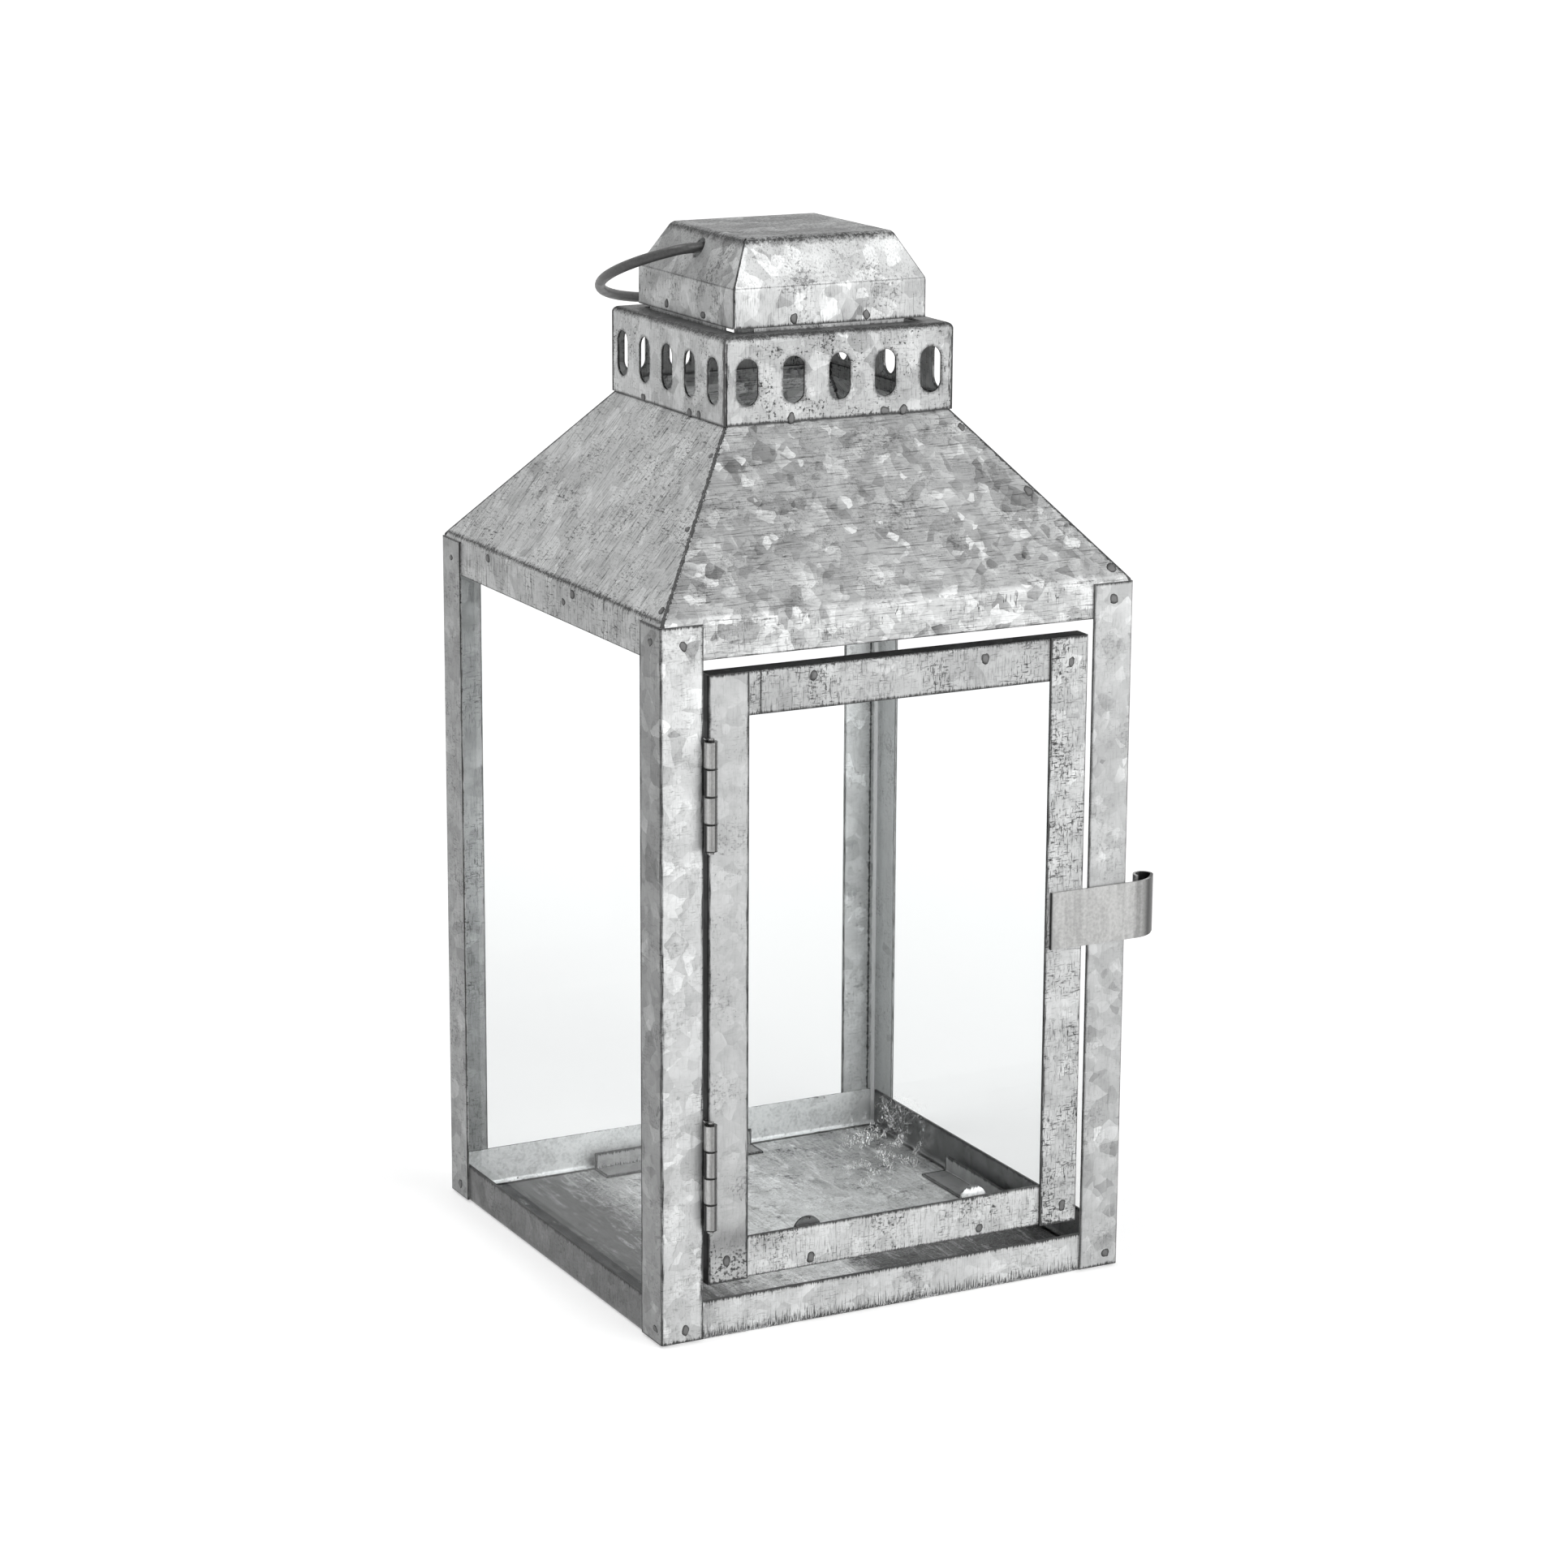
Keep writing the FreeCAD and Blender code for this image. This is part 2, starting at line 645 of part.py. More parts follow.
def stile(label, x, side):
    body = new_body(label)
    plan = polygon(new_sketch(body, f"{label}_plan"), [
        ("0", "0"),
        (f"{side}door_member", "0"),
        (f"{side}door_member", "sheet"),
        (f"{side}sheet", "sheet"),
        (f"{side}sheet", "door_return"),
        ("0", "door_return"),
    ])
    angle = pad(body, f"{label}_angle", plan, door_high)
    fold_angle(body, f"{label}_fold", angle, ("0", f"{side}sheet"), ("0", "sheet"), "z")
    place(body, x, "-door_face", "door_bottom")


def rail(label, z, side):
    body = new_body(label)
    section = polygon(new_sketch(body, f"{label}_section", "YZ_Plane"), [
        ("0", "0"),
        ("0", f"{side}door_member"),
        ("sheet", f"{side}door_member"),
        ("sheet", f"{side}sheet"),
        ("door_return - sheet", f"{side}sheet"),
        ("door_return - sheet", "0"),
    ])
    angle = pad(body, f"{label}_angle", section, "door_right - door_left - 2 * sheet")
    fold_angle(body, f"{label}_fold", angle, ("0", "sheet"), ("0", f"{side}sheet"), "x")
    place(body, "door_left + sheet", "sheet - door_face", z)


stile("door_stile_left", "door_left", "")
stile("door_stile_right", "door_right", "-")
rail("door_rail_bottom", "door_bottom", "")
rail("door_rail_top", "door_top", "-")

rail_back = "(2 * sheet - door_face)"
glass_low = "(low_hook_end + hook_step + 0.1)"
glass_high = "(high_hook_end - hook_step - 0.1)"
glass_left = "(door_left + sheet + door_glass_side)"
glass_right = "(door_right - sheet - door_glass_side)"
glass_wide = f"{glass_right} - {glass_left}"
glass_tall = f"{glass_high} - {glass_low}"
pane("door_glass", glass_wide, "glass", glass_tall, glass_left, rail_back, glass_low)


# Door tongues, welded to the rails and stepped back behind the glass, with round ends
def door_tongue(label, x, z, tip, lean, turn):
    body = new_body(label)
    lip = "(glass + 0.1)"
    section = polygon(new_sketch(body, f"{label}_section", "YZ_Plane"), [
        ("0", "0"),
        ("sheet", "0"),
        ("sheet", "hook_step - sheet"),
        (f"{lip} + sheet", "hook_step - sheet"),
        (f"{lip} + sheet + {lean}", tip),
        (f"{lip} + {lean}", tip),
        (lip, "hook_step"),
        ("0", "hook_step"),
    ])
    strip = pad(body, f"{label}_strip", section, "tongue_width", both=True)
    ends = number(tip)
    half = number("tongue_width / 2")
    for name, side in (("left", -half), ("right", half)):
        def at_tip(point, side=side):
            return abs(point.z - ends) < 0.01 and abs(point.x - side) < 0.01

        strip = fillet(body, f"{label}_round_{name}", strip, at_tip, "tongue_width / 2 - 0.05")
    place(body, x, rail_back, z, axis=(0, 1, 0), turn=turn)


door_tongue("door_clip_bottom_left", "-hook_offset", "low_hook_end", "low_hook_tip", "0", 0)
door_tongue("door_clip_bottom_right", "hook_offset", "low_hook_end", "low_hook_tip", "hook_lean", 0)
door_tongue("door_clip_top_left", "-hook_offset", "high_hook_end", "high_hook_tip", "0", 180)
door_tongue("door_clip_top_right", "hook_offset", "high_hook_end", "high_hook_tip", "0", 180)


# Hinges: two leaves with alternate knuckles on one pin
def hinge_leaf(label, z, plate, throat_low, throat_high, first):
    body = new_body(label)
    barrel_high = "3 * knuckle_pitch + knuckle_length"
    plan = polygon(new_sketch(body, f"{label}_plan"), plate)
    pad(body, f"{label}_plate", plan, barrel_high)
    knuckle_plan = circle(new_sketch(body, f"{label}_knuckle_plan", offset=first), "0", "0", "knuckle_radius")
    knuckle = feature(body, "Pad", f"{label}_knuckle", knuckle_plan)
    knuckle.setExpression("Length", bound("knuckle_length"))
    body.AllowCompound = True
    doc.recompute()
    throat_plan = polygon(new_sketch(body, f"{label}_throat_plan", offset=first), [
        (throat_low, "0"),
        (throat_high, "0"),
        (throat_high, "knuckle_throat + 0.1"),
        (throat_low, "knuckle_throat + 0.1"),
    ])
    throat_pad = pad(body, f"{label}_throat", throat_plan, "knuckle_length")
    rows = body.newObject("PartDesign::LinearPattern", f"{label}_knuckles")
    rows.Originals = [knuckle, throat_pad]
    rows.Direction = origin_axis(body, "Z_Axis")
    rows.setExpression("Length", bound("2 * knuckle_pitch"))
    rows.Occurrences = 2
    body.Tip = rows
    doc.recompute()
    bore = circle(new_sketch(body, f"{label}_bore_plan"), "0", "0", "bore_radius")
    pocket(body, f"{label}_bore", bore, f"2 * ({barrel_high})", reverse=True)
    place(body, "hinge_x", "hinge_y", z)


def hinge_pin(label, z):
    pin = doc.addObject("Part::Cylinder", label)
    pin.Label = label
    pin.setExpression("Radius", bound("pin_radius"))
    pin.setExpression("Height", bound("3 * knuckle_pitch + knuckle_length + 2 * pin_end"))
    place(pin, "hinge_x", "hinge_y", f"{z} - pin_end")
    parts.append(pin)


post_edge = "(post_leg - half_width - hinge_x)"
post_back = "(sheet - half_width - hinge_y)"
door_edge = "(door_left - hinge_x)"
for level in ("upper", "lower"):
    hinge_leaf(
        f"{level}_hinge_post_leaf",
        f"{level}_hinge",
        [
            (f"{post_edge} + fold_gap", "knuckle_throat"),
            (f"{post_edge} + fold_gap + leaf", "knuckle_throat"),
            (f"{post_edge} + fold_gap + leaf", f"{post_back} + leaf"),
            (f"{post_edge} - post_leaf_foot", f"{post_back} + leaf"),
            (f"{post_edge} - post_leaf_foot", f"{post_back} + fold_gap"),
            (f"{post_edge} + fold_gap", f"{post_back} + fold_gap"),
        ],
        f"{post_edge} + fold_gap",
        f"{post_edge} + fold_gap + leaf",
        "knuckle_pitch",
    )
    hinge_leaf(
        f"{level}_hinge_door_leaf",
        f"{level}_hinge",
        [
            (f"{door_edge} - leaf", "knuckle_throat"),
            (door_edge, "knuckle_throat"),
            (door_edge, "door_leaf_length"),
            (f"{door_edge} - leaf", "door_leaf_length"),
        ],
        f"{door_edge} - leaf",
        door_edge,
        "0",
    )
    hinge_pin(f"{level}_hinge_pin", f"{level}_hinge")

# Latch strip, flat on the right stile, curled back past the right post
latch = new_body("latch_strip")
curl = new_sketch(latch, "latch_path")
turn_angle = math.radians(number("latch_turn"))
end_angle = math.radians(number("latch_end_turn") + 360)
turn_radius = number("latch_turn_radius")
curl_radius = number("latch_curl_radius")
start = Vector(number("latch_start"), 0, 0)
bend_start = Vector(number("latch_straight"), 0, 0)
bend_middle = bend_start + Vector(0, turn_radius, 0)
bend_end = bend_middle + Vector(math.sin(turn_angle), -math.cos(turn_angle), 0) * turn_radius
run_end = bend_end + Vector(math.cos(turn_angle), math.sin(turn_angle), 0) * number("latch_run")
curl_middle = run_end + Vector(-math.sin(turn_angle), math.cos(turn_angle), 0) * curl_radius
curl_end = curl_middle + Vector(math.sin(end_angle), -math.cos(end_angle), 0) * curl_radius
last = curl_end + Vector(math.cos(end_angle), math.sin(end_angle), 0) * number("latch_end")
quarter = math.pi / 2
curl.addGeometry(Part.LineSegment(start, bend_start))
curl.addGeometry(arc(bend_middle.x, bend_middle.y, turn_radius, -quarter, turn_angle - quarter))
curl.addGeometry(Part.LineSegment(bend_end, run_end))
curl.addGeometry(arc(curl_middle.x, curl_middle.y, curl_radius, turn_angle - quarter, end_angle - quarter))
curl.addGeometry(Part.LineSegment(curl_end, last))
for one, one_end, other, other_end in ((0, 2, 1, 1), (1, 2, 2, 1), (2, 2, 3, 1), (3, 2, 4, 1)):
    curl.addConstraint(Sketcher.Constraint("Tangent", one, one_end, other, other_end))
curl.addConstraint(Sketcher.Constraint("Horizontal", 0))
hold(curl, "DistanceX", "latch_start", 0, 1)
hold(curl, "DistanceY", "0", 0, 1)
hold(curl, "DistanceX", "latch_straight", 0, 2)
hold(curl, "Radius", "latch_turn_radius", 1)
hold(curl, "Angle", "latch_turn", 2)
hold(curl, "Distance", "latch_run", 2)
hold(curl, "Radius", "latch_curl_radius", 3)
hold(curl, "Angle", "latch_end_turn", 4)
hold(curl, "Distance", "latch_end", 4)
strip_end = polygon(new_sketch(latch, "latch_section", "YZ_Plane", "latch_start"), [
    ("-latch_sheet / 2", "0"),
    ("latch_sheet / 2", "0"),
    ("latch_sheet / 2", "latch_height"),
    ("-latch_sheet / 2", "latch_height"),
])
latch_sweep = feature(latch, "AdditivePipe", "latch_sweep", strip_end)
latch_sweep.Spine = (curl, [])
doc.recompute()
place(latch, y="-door_face - latch_sheet / 2", z="latch_low")

doc.recompute()
for item in doc.Objects:
    if {"Invalid", "Error"} & set(item.State):
        raise RuntimeError(f"{item.Label} did not compute: {item.State}")
    if item.TypeId == "Sketcher::SketchObject" and not item.FullyConstrained:
        raise RuntimeError(f"{item.Label} is not fully constrained")
os.makedirs("parts", exist_ok=True)
for item in parts:
    if item.Shape.isNull() or not item.Shape.isValid():
        raise RuntimeError(f"{item.Label} has no valid shape")
    item.Shape.exportStep(f"parts/{item.Label}.step")
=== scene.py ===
import math
from dataclasses import dataclass, replace
from functools import partial

import bmesh
import bpy
from bpy.props import FloatProperty, FloatVectorProperty, IntProperty, PointerProperty
from mathutils import Matrix, Vector


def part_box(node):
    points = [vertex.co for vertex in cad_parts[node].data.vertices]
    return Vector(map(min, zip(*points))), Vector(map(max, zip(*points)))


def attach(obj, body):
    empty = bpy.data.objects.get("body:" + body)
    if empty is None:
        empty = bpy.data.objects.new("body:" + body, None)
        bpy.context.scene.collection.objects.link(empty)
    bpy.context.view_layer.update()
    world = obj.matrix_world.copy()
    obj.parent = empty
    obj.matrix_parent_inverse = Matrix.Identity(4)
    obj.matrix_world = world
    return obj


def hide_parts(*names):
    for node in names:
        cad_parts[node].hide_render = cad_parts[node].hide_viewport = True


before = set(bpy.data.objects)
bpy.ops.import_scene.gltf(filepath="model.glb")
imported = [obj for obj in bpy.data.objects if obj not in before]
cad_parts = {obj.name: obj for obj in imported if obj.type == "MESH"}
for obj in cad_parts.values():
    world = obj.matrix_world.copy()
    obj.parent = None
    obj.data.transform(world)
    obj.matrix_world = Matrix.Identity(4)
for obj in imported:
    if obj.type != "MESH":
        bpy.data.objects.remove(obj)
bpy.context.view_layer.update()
MM = 0.001

# Slots of the vent collar, knuckles of the hinges and places of marks, in millimetres
SLOT_PITCH = 14.65
SLOT_MIDDLE = 265.55
SLOT_LENGTH = 13.3
SLOT_WIDTH = 6.8
KNUCKLE_PITCH = 7.8
BARREL_BACK = -75.5
STRIP_START = 49.3
SCROLL_START = 78.7
CRACK_HEIGHT = 204.5
HINGE_STAIN_HEIGHT = 29.0
RAIL_SEAM = -44.3
DARKER_CORNER = (60.0, 60.0, 0.0)
SCUFF_MIDDLE = (-4.0, -73.0, 50.0)
# Shift of the zinc pattern from one piece to the next, in millimetres
PATCH_STEP = 37.0
# Middle of a noise's range
NOISE_MIDDLE = (0.5, 0.5, 0.5)
# Point that the lamps look at, in metres
LAMP_AIM = Vector((0, 0, 0.16))

bl_info = {
    "name": "Candle lantern",
    "version": (1, 0, 0),
    "blender": (4, 5, 0),
    "location": "3D View > Sidebar > Lantern",
    "description": "Finishes a candle lantern in galvanised sheet, glass, wire and spot welds",
    "category": "Object",
}


def linear(code):
    """Linear colour of an sRGB hex value."""
    parts = [int(code[start:start + 2], 16) / 255 for start in (1, 3, 5)]
    return [part / 12.92 if part <= 0.04045 else ((part + 0.055) / 1.055) ** 2.4 for part in parts]


class SheetSettings(bpy.types.PropertyGroup):
    zinc: FloatVectorProperty(
        name="Zinc", description="Colour of the clean zinc coat", subtype="COLOR",
        min=0, max=1, default=linear("#B7B8B8"),
    )
    # Also the colour of the painted shade on the sheets
    soot_and_shade: FloatVectorProperty(
        name="Soot", description="Colour of worn and dirty marks", subtype="COLOR",
        min=0, max=1, default=linear("#1C1C1C"),
    )


class GlassSettings(bpy.types.PropertyGroup):
    tint: FloatVectorProperty(
        name="Tint", description="Colour of the clear panes", subtype="COLOR",
        min=0, max=1, default=linear("#FCFDFD"),
    )
    ground_edge: FloatProperty(
        name="Ground edge", description="Width of the ground edge of the door pane",
        unit="LENGTH", default=0.3 * MM,
    )
    clearance: FloatProperty(
        name="Clearance", description="Gap between the door pane and its rails",
        unit="LENGTH", default=0.1 * MM,
    )


class SteelSettings(bpy.types.PropertyGroup):
    hinge: FloatVectorProperty(
        name="Hinge", description="Colour of the rolled hinges and pins", subtype="COLOR",
        min=0, max=1, default=linear("#C0C0BF"),
    )
    latch: FloatVectorProperty(
        name="Latch", description="Colour of the spring latch strip", subtype="COLOR",
        min=0, max=1, default=linear("#ABABAA"),
    )
    wire: FloatVectorProperty(
        name="Wire", description="Colour of the drawn bail wire", subtype="COLOR",
        min=0, max=1, default=linear("#545454"),
    )


class BailSettings(bpy.types.PropertyGroup):
    wire_radius: FloatProperty(
        name="Wire radius", description="Radius of the bail wire",
        unit="LENGTH", default=1.5 * MM,
    )
    axis_height: FloatProperty(
        name="Axis height", description="Height of the holes that the bail turns in",
        unit="LENGTH", default=299.0 * MM,
    )
    rest_angle: FloatProperty(
        name="Rest angle", description="How far the bail hangs below level behind the cap",
        subtype="ANGLE", default=math.radians(19.8),
    )
    ring_radius: FloatProperty(
        name="Ring radius", description="Radius of the round grip",
        unit="LENGTH", default=41.4 * MM,
    )
    shoulder_radius: FloatProperty(
        name="Shoulder radius", description="Radius of the bend from the axis to the grip",
        unit="LENGTH", default=7.0 * MM,
    )
    straight_end: FloatProperty(
        name="Straight end", description="Distance from the middle to the end of the straight axis",
        unit="LENGTH", default=27.5 * MM,
    )
    hook_inner: FloatProperty(
        name="Hook place", description="Distance from the middle to the hooked end",
        unit="LENGTH", default=19.0 * MM,
    )
    hook_bend: FloatProperty(
        name="Hook bend", description="Radius of the bend inside the cap",
        unit="LENGTH", default=3.0 * MM,
    )
    hook_length: FloatProperty(
        name="Hook length", description="Length of the hooked end inside the cap",
        unit="LENGTH", default=7.0 * MM,
    )


class WeldSettings(bpy.types.PropertyGroup):
    width: FloatProperty(
        name="Width", description="Half the width of a spot weld", unit="LENGTH", default=1.15 * MM,
    )
    length: FloatProperty(
        name="Length", description="Half the length of a spot weld", unit="LENGTH", default=1.6 * MM,
    )
    height: FloatProperty(
        name="Height", description="How far a spot weld stands proud", unit="LENGTH", default=0.16 * MM,
    )
    seed: IntProperty(name="Seed", description="Seed of the uneven weld sizes", default=7)


class StageSettings(bpy.types.PropertyGroup):
    azimuth: FloatProperty(
        name="Azimuth", description="Camera's turn round the lantern", subtype="ANGLE",
        default=math.radians(-27.502),
    )
    elevation: FloatProperty(
        name="Elevation", description="Camera's angle above the horizon", subtype="ANGLE",
        default=math.radians(14.127),
    )
    roll: FloatProperty(
        name="Roll", description="Camera's turn about its own line of sight", subtype="ANGLE",
        default=math.radians(0.294),
    )
    distance: FloatProperty(
        name="Distance", description="From the camera to the point it looks at",
        unit="LENGTH", default=1281.9 * MM,
    )
    aim_height: FloatProperty(
        name="Aim height", description="Height of the point the camera looks at",
        unit="LENGTH", default=138.9 * MM,
    )
    aim_right: FloatProperty(
        name="Aim right", description="How far that point lies to the right of the middle",
        unit="LENGTH", default=1.68 * MM,
    )
    lens: FloatProperty(name="Lens", description="Focal length in millimetres", default=99.41)
    floor_size: FloatProperty(
        name="Floor size", description="Length of a side of the floor", unit="LENGTH", default=24.0,
    )
    floor_colour: FloatVectorProperty(
        name="Floor", description="Colour of the floor in the lamps' light", subtype="COLOR",
        min=0, max=1, default=linear("#E8E8E8"),
    )


class LanternSettings(bpy.types.PropertyGroup):
    sheet: PointerProperty(type=SheetSettings)
    glass: PointerProperty(type=GlassSettings)
    steel: PointerProperty(type=SteelSettings)
    bail: PointerProperty(type=BailSettings)
    weld: PointerProperty(type=WeldSettings)
    stage: PointerProperty(type=StageSettings)


UP = (0, 0, 1)
LEFT = (-1, 0, 0)
BACK = (0, 1, 0)
RIGHT = (1, 0, 0)
LEFT_SLOPE = (-0.878, 0, 0.479)


@dataclass(frozen=True)
class SheetLook:
    """How one kind of panel looks; lengths in millimetres, the rest as shares.

    Painted shading entries are (way a face looks, start, end, gain): painted light and shade by the way a
    face looks, by default painted shade on faces that look up. Bands are (direction, place, half width,
    gain): a gain below nought darkens a band, as dirt on some looks and painted shade on others, and a gain
    above nought is a painted highlight.
    """
    tone: float = 1.0
    crystal: float = 6.0
    contrast: float = 0.18
    sparkle: float = 0.5
    weave: float = 0.15
    grain: tuple = (0.6, 0.6, 8.0)
    scratch: float = 0.15
    specks: float = 0.3
    edge: float = 0.7
    ragged: float = 1.0
    fringe: float = 1.5
    # Painted shade on faces that look inwards
    inside: float = 0.12
    brightest: float = 1.4
    painted_shading: tuple = ((UP, 0.75, 0.95, 0.7),)
    bands: tuple = ()


# Along each hip, painted shade in a dark line with a painted highlight down its middle, on the lapped edge
HIPS = tuple(
    (direction, 0, half, gain)
    for direction in ((0.7071, 0.7071, 0), (0.7071, -0.7071, 0))
    for half, gain in ((0.85, -3.0), (0.25, 2.2))
)

# Painted shade on the slope, lighter on the skirt below, and a painted highlight along the eave bend
ROOF_FRONT = SheetLook(
    tone=1.03, crystal=5.4, contrast=0.42, sparkle=1.2, weave=0.35, grain=(9.0, 0.4, 0.4), scratch=0.65,
    edge=0.4, ragged=0.3, fringe=0.3, painted_shading=((UP, 0.2, 0.6, 0.75),),
    bands=(*HIPS, (UP, 208.6, 0.7, 0.5)),
)
# Painted light on the slope
ROOF_SIDE = SheetLook(
    tone=1.07, crystal=7.0, contrast=0.22, sparkle=0.0, weave=0.6, grain=(7.0, 0.6, 7.0), scratch=0.7,
    specks=0.0, edge=0.4, ragged=0.3, fringe=0.3, painted_shading=((UP, 0.2, 0.6, 1.1),),
    bands=(*HIPS, (UP, 208.4, 1.1, -1.0)),
)
# Right-hand posts: painted light on the faces that look left, inside the lantern
POST = SheetLook(
    tone=1.05, contrast=0.28, sparkle=0.2, weave=0.2, scratch=0.12, specks=0.25, ragged=0.3,
    fringe=0.8, inside=0.0, brightest=2.0, painted_shading=((UP, 0.75, 0.95, 0.7), (LEFT, 0.5, 0.9, 1.9)),
)
# Left-hand posts: painted shade on the faces that look left
LEFT_POST = replace(
    POST, contrast=0.2, weave=0.42, specks=0.4, scratch=0.25, edge=0.4, inside=0.1,
    painted_shading=((UP, 0.75, 0.95, 0.7), (LEFT, 0.5, 0.9, 0.77)),
)
# Painted light on level faces and painted shade on faces that look left
TRAY = SheetLook(
    tone=1.17, contrast=0.19, sparkle=0.1, weave=0.32, grain=(0.38, 0.38, 7.0), scratch=0.3, specks=0.35,
    fringe=5.9, inside=0.0, brightest=2.2, painted_shading=((UP, 0.75, 0.95, 1.48), (LEFT, 0.5, 0.9, 0.42)),
    bands=(
        # Painted contact shadow along the foot, a dark line along the top edge, painted light on the back
        # wall and along its fold, and painted shade towards the left wall
        (UP, 0.0, 0.7, -0.9), (UP, 12.0, 0.5, -1.2), (BACK, 73.7, 2.2, 2.6), (LEFT, 74.4, 30.0, -0.3),
    ),
)
# Painted shade on level faces and painted light on faces that look left
COLLAR = SheetLook(
    tone=0.88, contrast=0.27, sparkle=0.15, weave=0.3, grain=(0.5, 0.5, 5.0), scratch=0.4, specks=1.0,
    ragged=1.8, fringe=0.5, painted_shading=((UP, 0.75, 0.95, 0.45), (LEFT, 0.5, 0.9, 1.36)),
    bands=((UP, 278.0, 1.5, -0.95),),
)
CAP = SheetLook(
    tone=1.08, crystal=8.0, contrast=0.4, sparkle=0.3, weave=0.16, grain=(0.4, 0.4, 4.0), scratch=0.5,
    specks=0.5, ragged=0.5, fringe=0.5,
    # Painted light on the slopes and, slightly, on faces that look left; painted shade on the top and on the
    # left slope
    painted_shading=(
        (UP, 0.2, 0.6, 1.06), (UP, 0.75, 0.95, 0.75), (LEFT, 0.4, 0.8, 1.02), (LEFT_SLOPE, 0.93, 0.99, 0.76),
    ),
    # A dark speckled rim round the top, and painted shade along the fold between slope and skirt
    bands=((UP, 303.2, 2.2, -1.0), (UP, 290.9, 0.35, -0.6)),
)
RAIL = SheetLook(
    contrast=0.16, sparkle=0.1, weave=0.65, grain=(0.45, 0.45, 6.0), scratch=0.4, specks=0.6,
    edge=0.8, ragged=0.5, fringe=0.5,
)
# Painted shade: faces that look left are near black, as in the gap beside the stile
STILE = SheetLook(
    tone=1.06, crystal=5.0, contrast=0.16, sparkle=0.1, weave=0.7, grain=(0.5, 0.5, 6.0), scratch=0.35,
    specks=0.6, ragged=0.5, fringe=0.8, painted_shading=((LEFT, 0.5, 0.9, 0.06),),
)
CLIP = SheetLook(contrast=0.15, sparkle=0.1, weave=0.1, specks=0.2, scratch=0.1)


def feed(tree, node, inputs):
    """Set or link inputs of a node, given by name or as a list in the node's own order."""
    given = inputs.items() if isinstance(inputs, dict) else enumerate(inputs)
    for key, value in given:
        if isinstance(value, bpy.types.NodeSocket):
            tree.links.new(value, node.inputs[key])
        else:
            node.inputs[key].default_value = value


def add(tree, kind, inputs=(), output=0, **settings):
    """Add a node with its settings, feed its inputs and hand back one output."""
    node = tree.nodes.new(kind)
    for name, value in settings.items():
        setattr(node, name, value)
    feed(tree, node, inputs)
    return node.outputs[output] if node.outputs else node


def surface(tree):
    """Place on a piece in millimetres, and the way its surface faces."""
    coordinates = add(tree, "ShaderNodeTexCoord").node
    scale = (1 / MM, 1 / MM, 1 / MM)
    place = add(tree, "ShaderNodeMapping", {"Vector": coordinates.outputs["Object"], "Scale": scale})
    return place, coordinates.outputs["Normal"]


def away_from(tree, value, middle):
    """How far a value lies from a middle, on either side of it."""
    offset = add(tree, "ShaderNodeMath", [value, middle], operation="SUBTRACT")
    return add(tree, "ShaderNodeMath", [offset], operation="ABSOLUTE")


def strongest(tree, *masks):
    """The strongest of several masks at each place."""
    most = masks[0]
    for mask in masks[1:]:
        most = add(tree, "ShaderNodeMath", [most, mask], operation="MAXIMUM")
    return most


def new_material(name):
    """Empty material with its tree and its main shader."""
    material = bpy.data.materials.new(name)
    material.use_nodes = True
    return material, material.node_tree, material.node_tree.nodes["Principled BSDF"]


def new_object(name, data):
    """Object in the scene that holds a mesh, a lamp or a camera."""
    thing = bpy.data.objects.new(name, data)
    bpy.context.scene.collection.objects.link(thing)
    return thing


def cover(node, material):
    """Give a solid of the lantern its finish."""
    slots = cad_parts[node].data.materials
    slots.clear()
    slots.append(material)


def dark_edge_lines(tree, place, normal, rag, node, look):
    """Mask of the dark line along the outer edges of an upright or level piece.

    Its foot is frayed only on faces that look forwards or backwards.
    """
    low, high = (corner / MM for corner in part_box(node))
    along = add(tree, "ShaderNodeSeparateXYZ", [place]).node
    faces = add(tree, "ShaderNodeSeparateXYZ", [normal]).node
    frontal = add(tree, "ShaderNodeMath", [faces.outputs[1]], operation="ABSOLUTE")
    frayed = add(tree, "ShaderNodeMath", [rag, frontal], operation="MULTIPLY")
    edges = []
    for axis in range(3):
        turned = add(tree, "ShaderNodeMath", [faces.outputs[axis]], operation="ABSOLUTE")
        beside = add(tree, "ShaderNodeMath", [turned, 0.7], operation="LESS_THAN")
        for side, end in ((1, low[axis]), (-1, high[axis])):
            foot = axis == 2 and side == 1
            reach = look.fringe if foot else look.ragged
            shape = frayed if foot else rag
            depth = add(
                tree, "ShaderNodeMath", [along.outputs[axis], side, -side * end], operation="MULTIPLY_ADD",
            )
            uneven = add(tree, "ShaderNodeMath", [shape, -reach, depth], operation="MULTIPLY_ADD")
            line = add(tree, "ShaderNodeMapRange", [uneven, 0.0, look.edge, 1.0, 0.0])
            fade = add(tree, "ShaderNodeMapRange", [depth, look.edge, look.edge + reach, 1.0, 0.15])
            faded = add(tree, "ShaderNodeMath", [line, fade], operation="MULTIPLY")
            edges.append(add(tree, "ShaderNodeMath", [faded, beside], operation="MULTIPLY"))
    return strongest(tree, *edges)


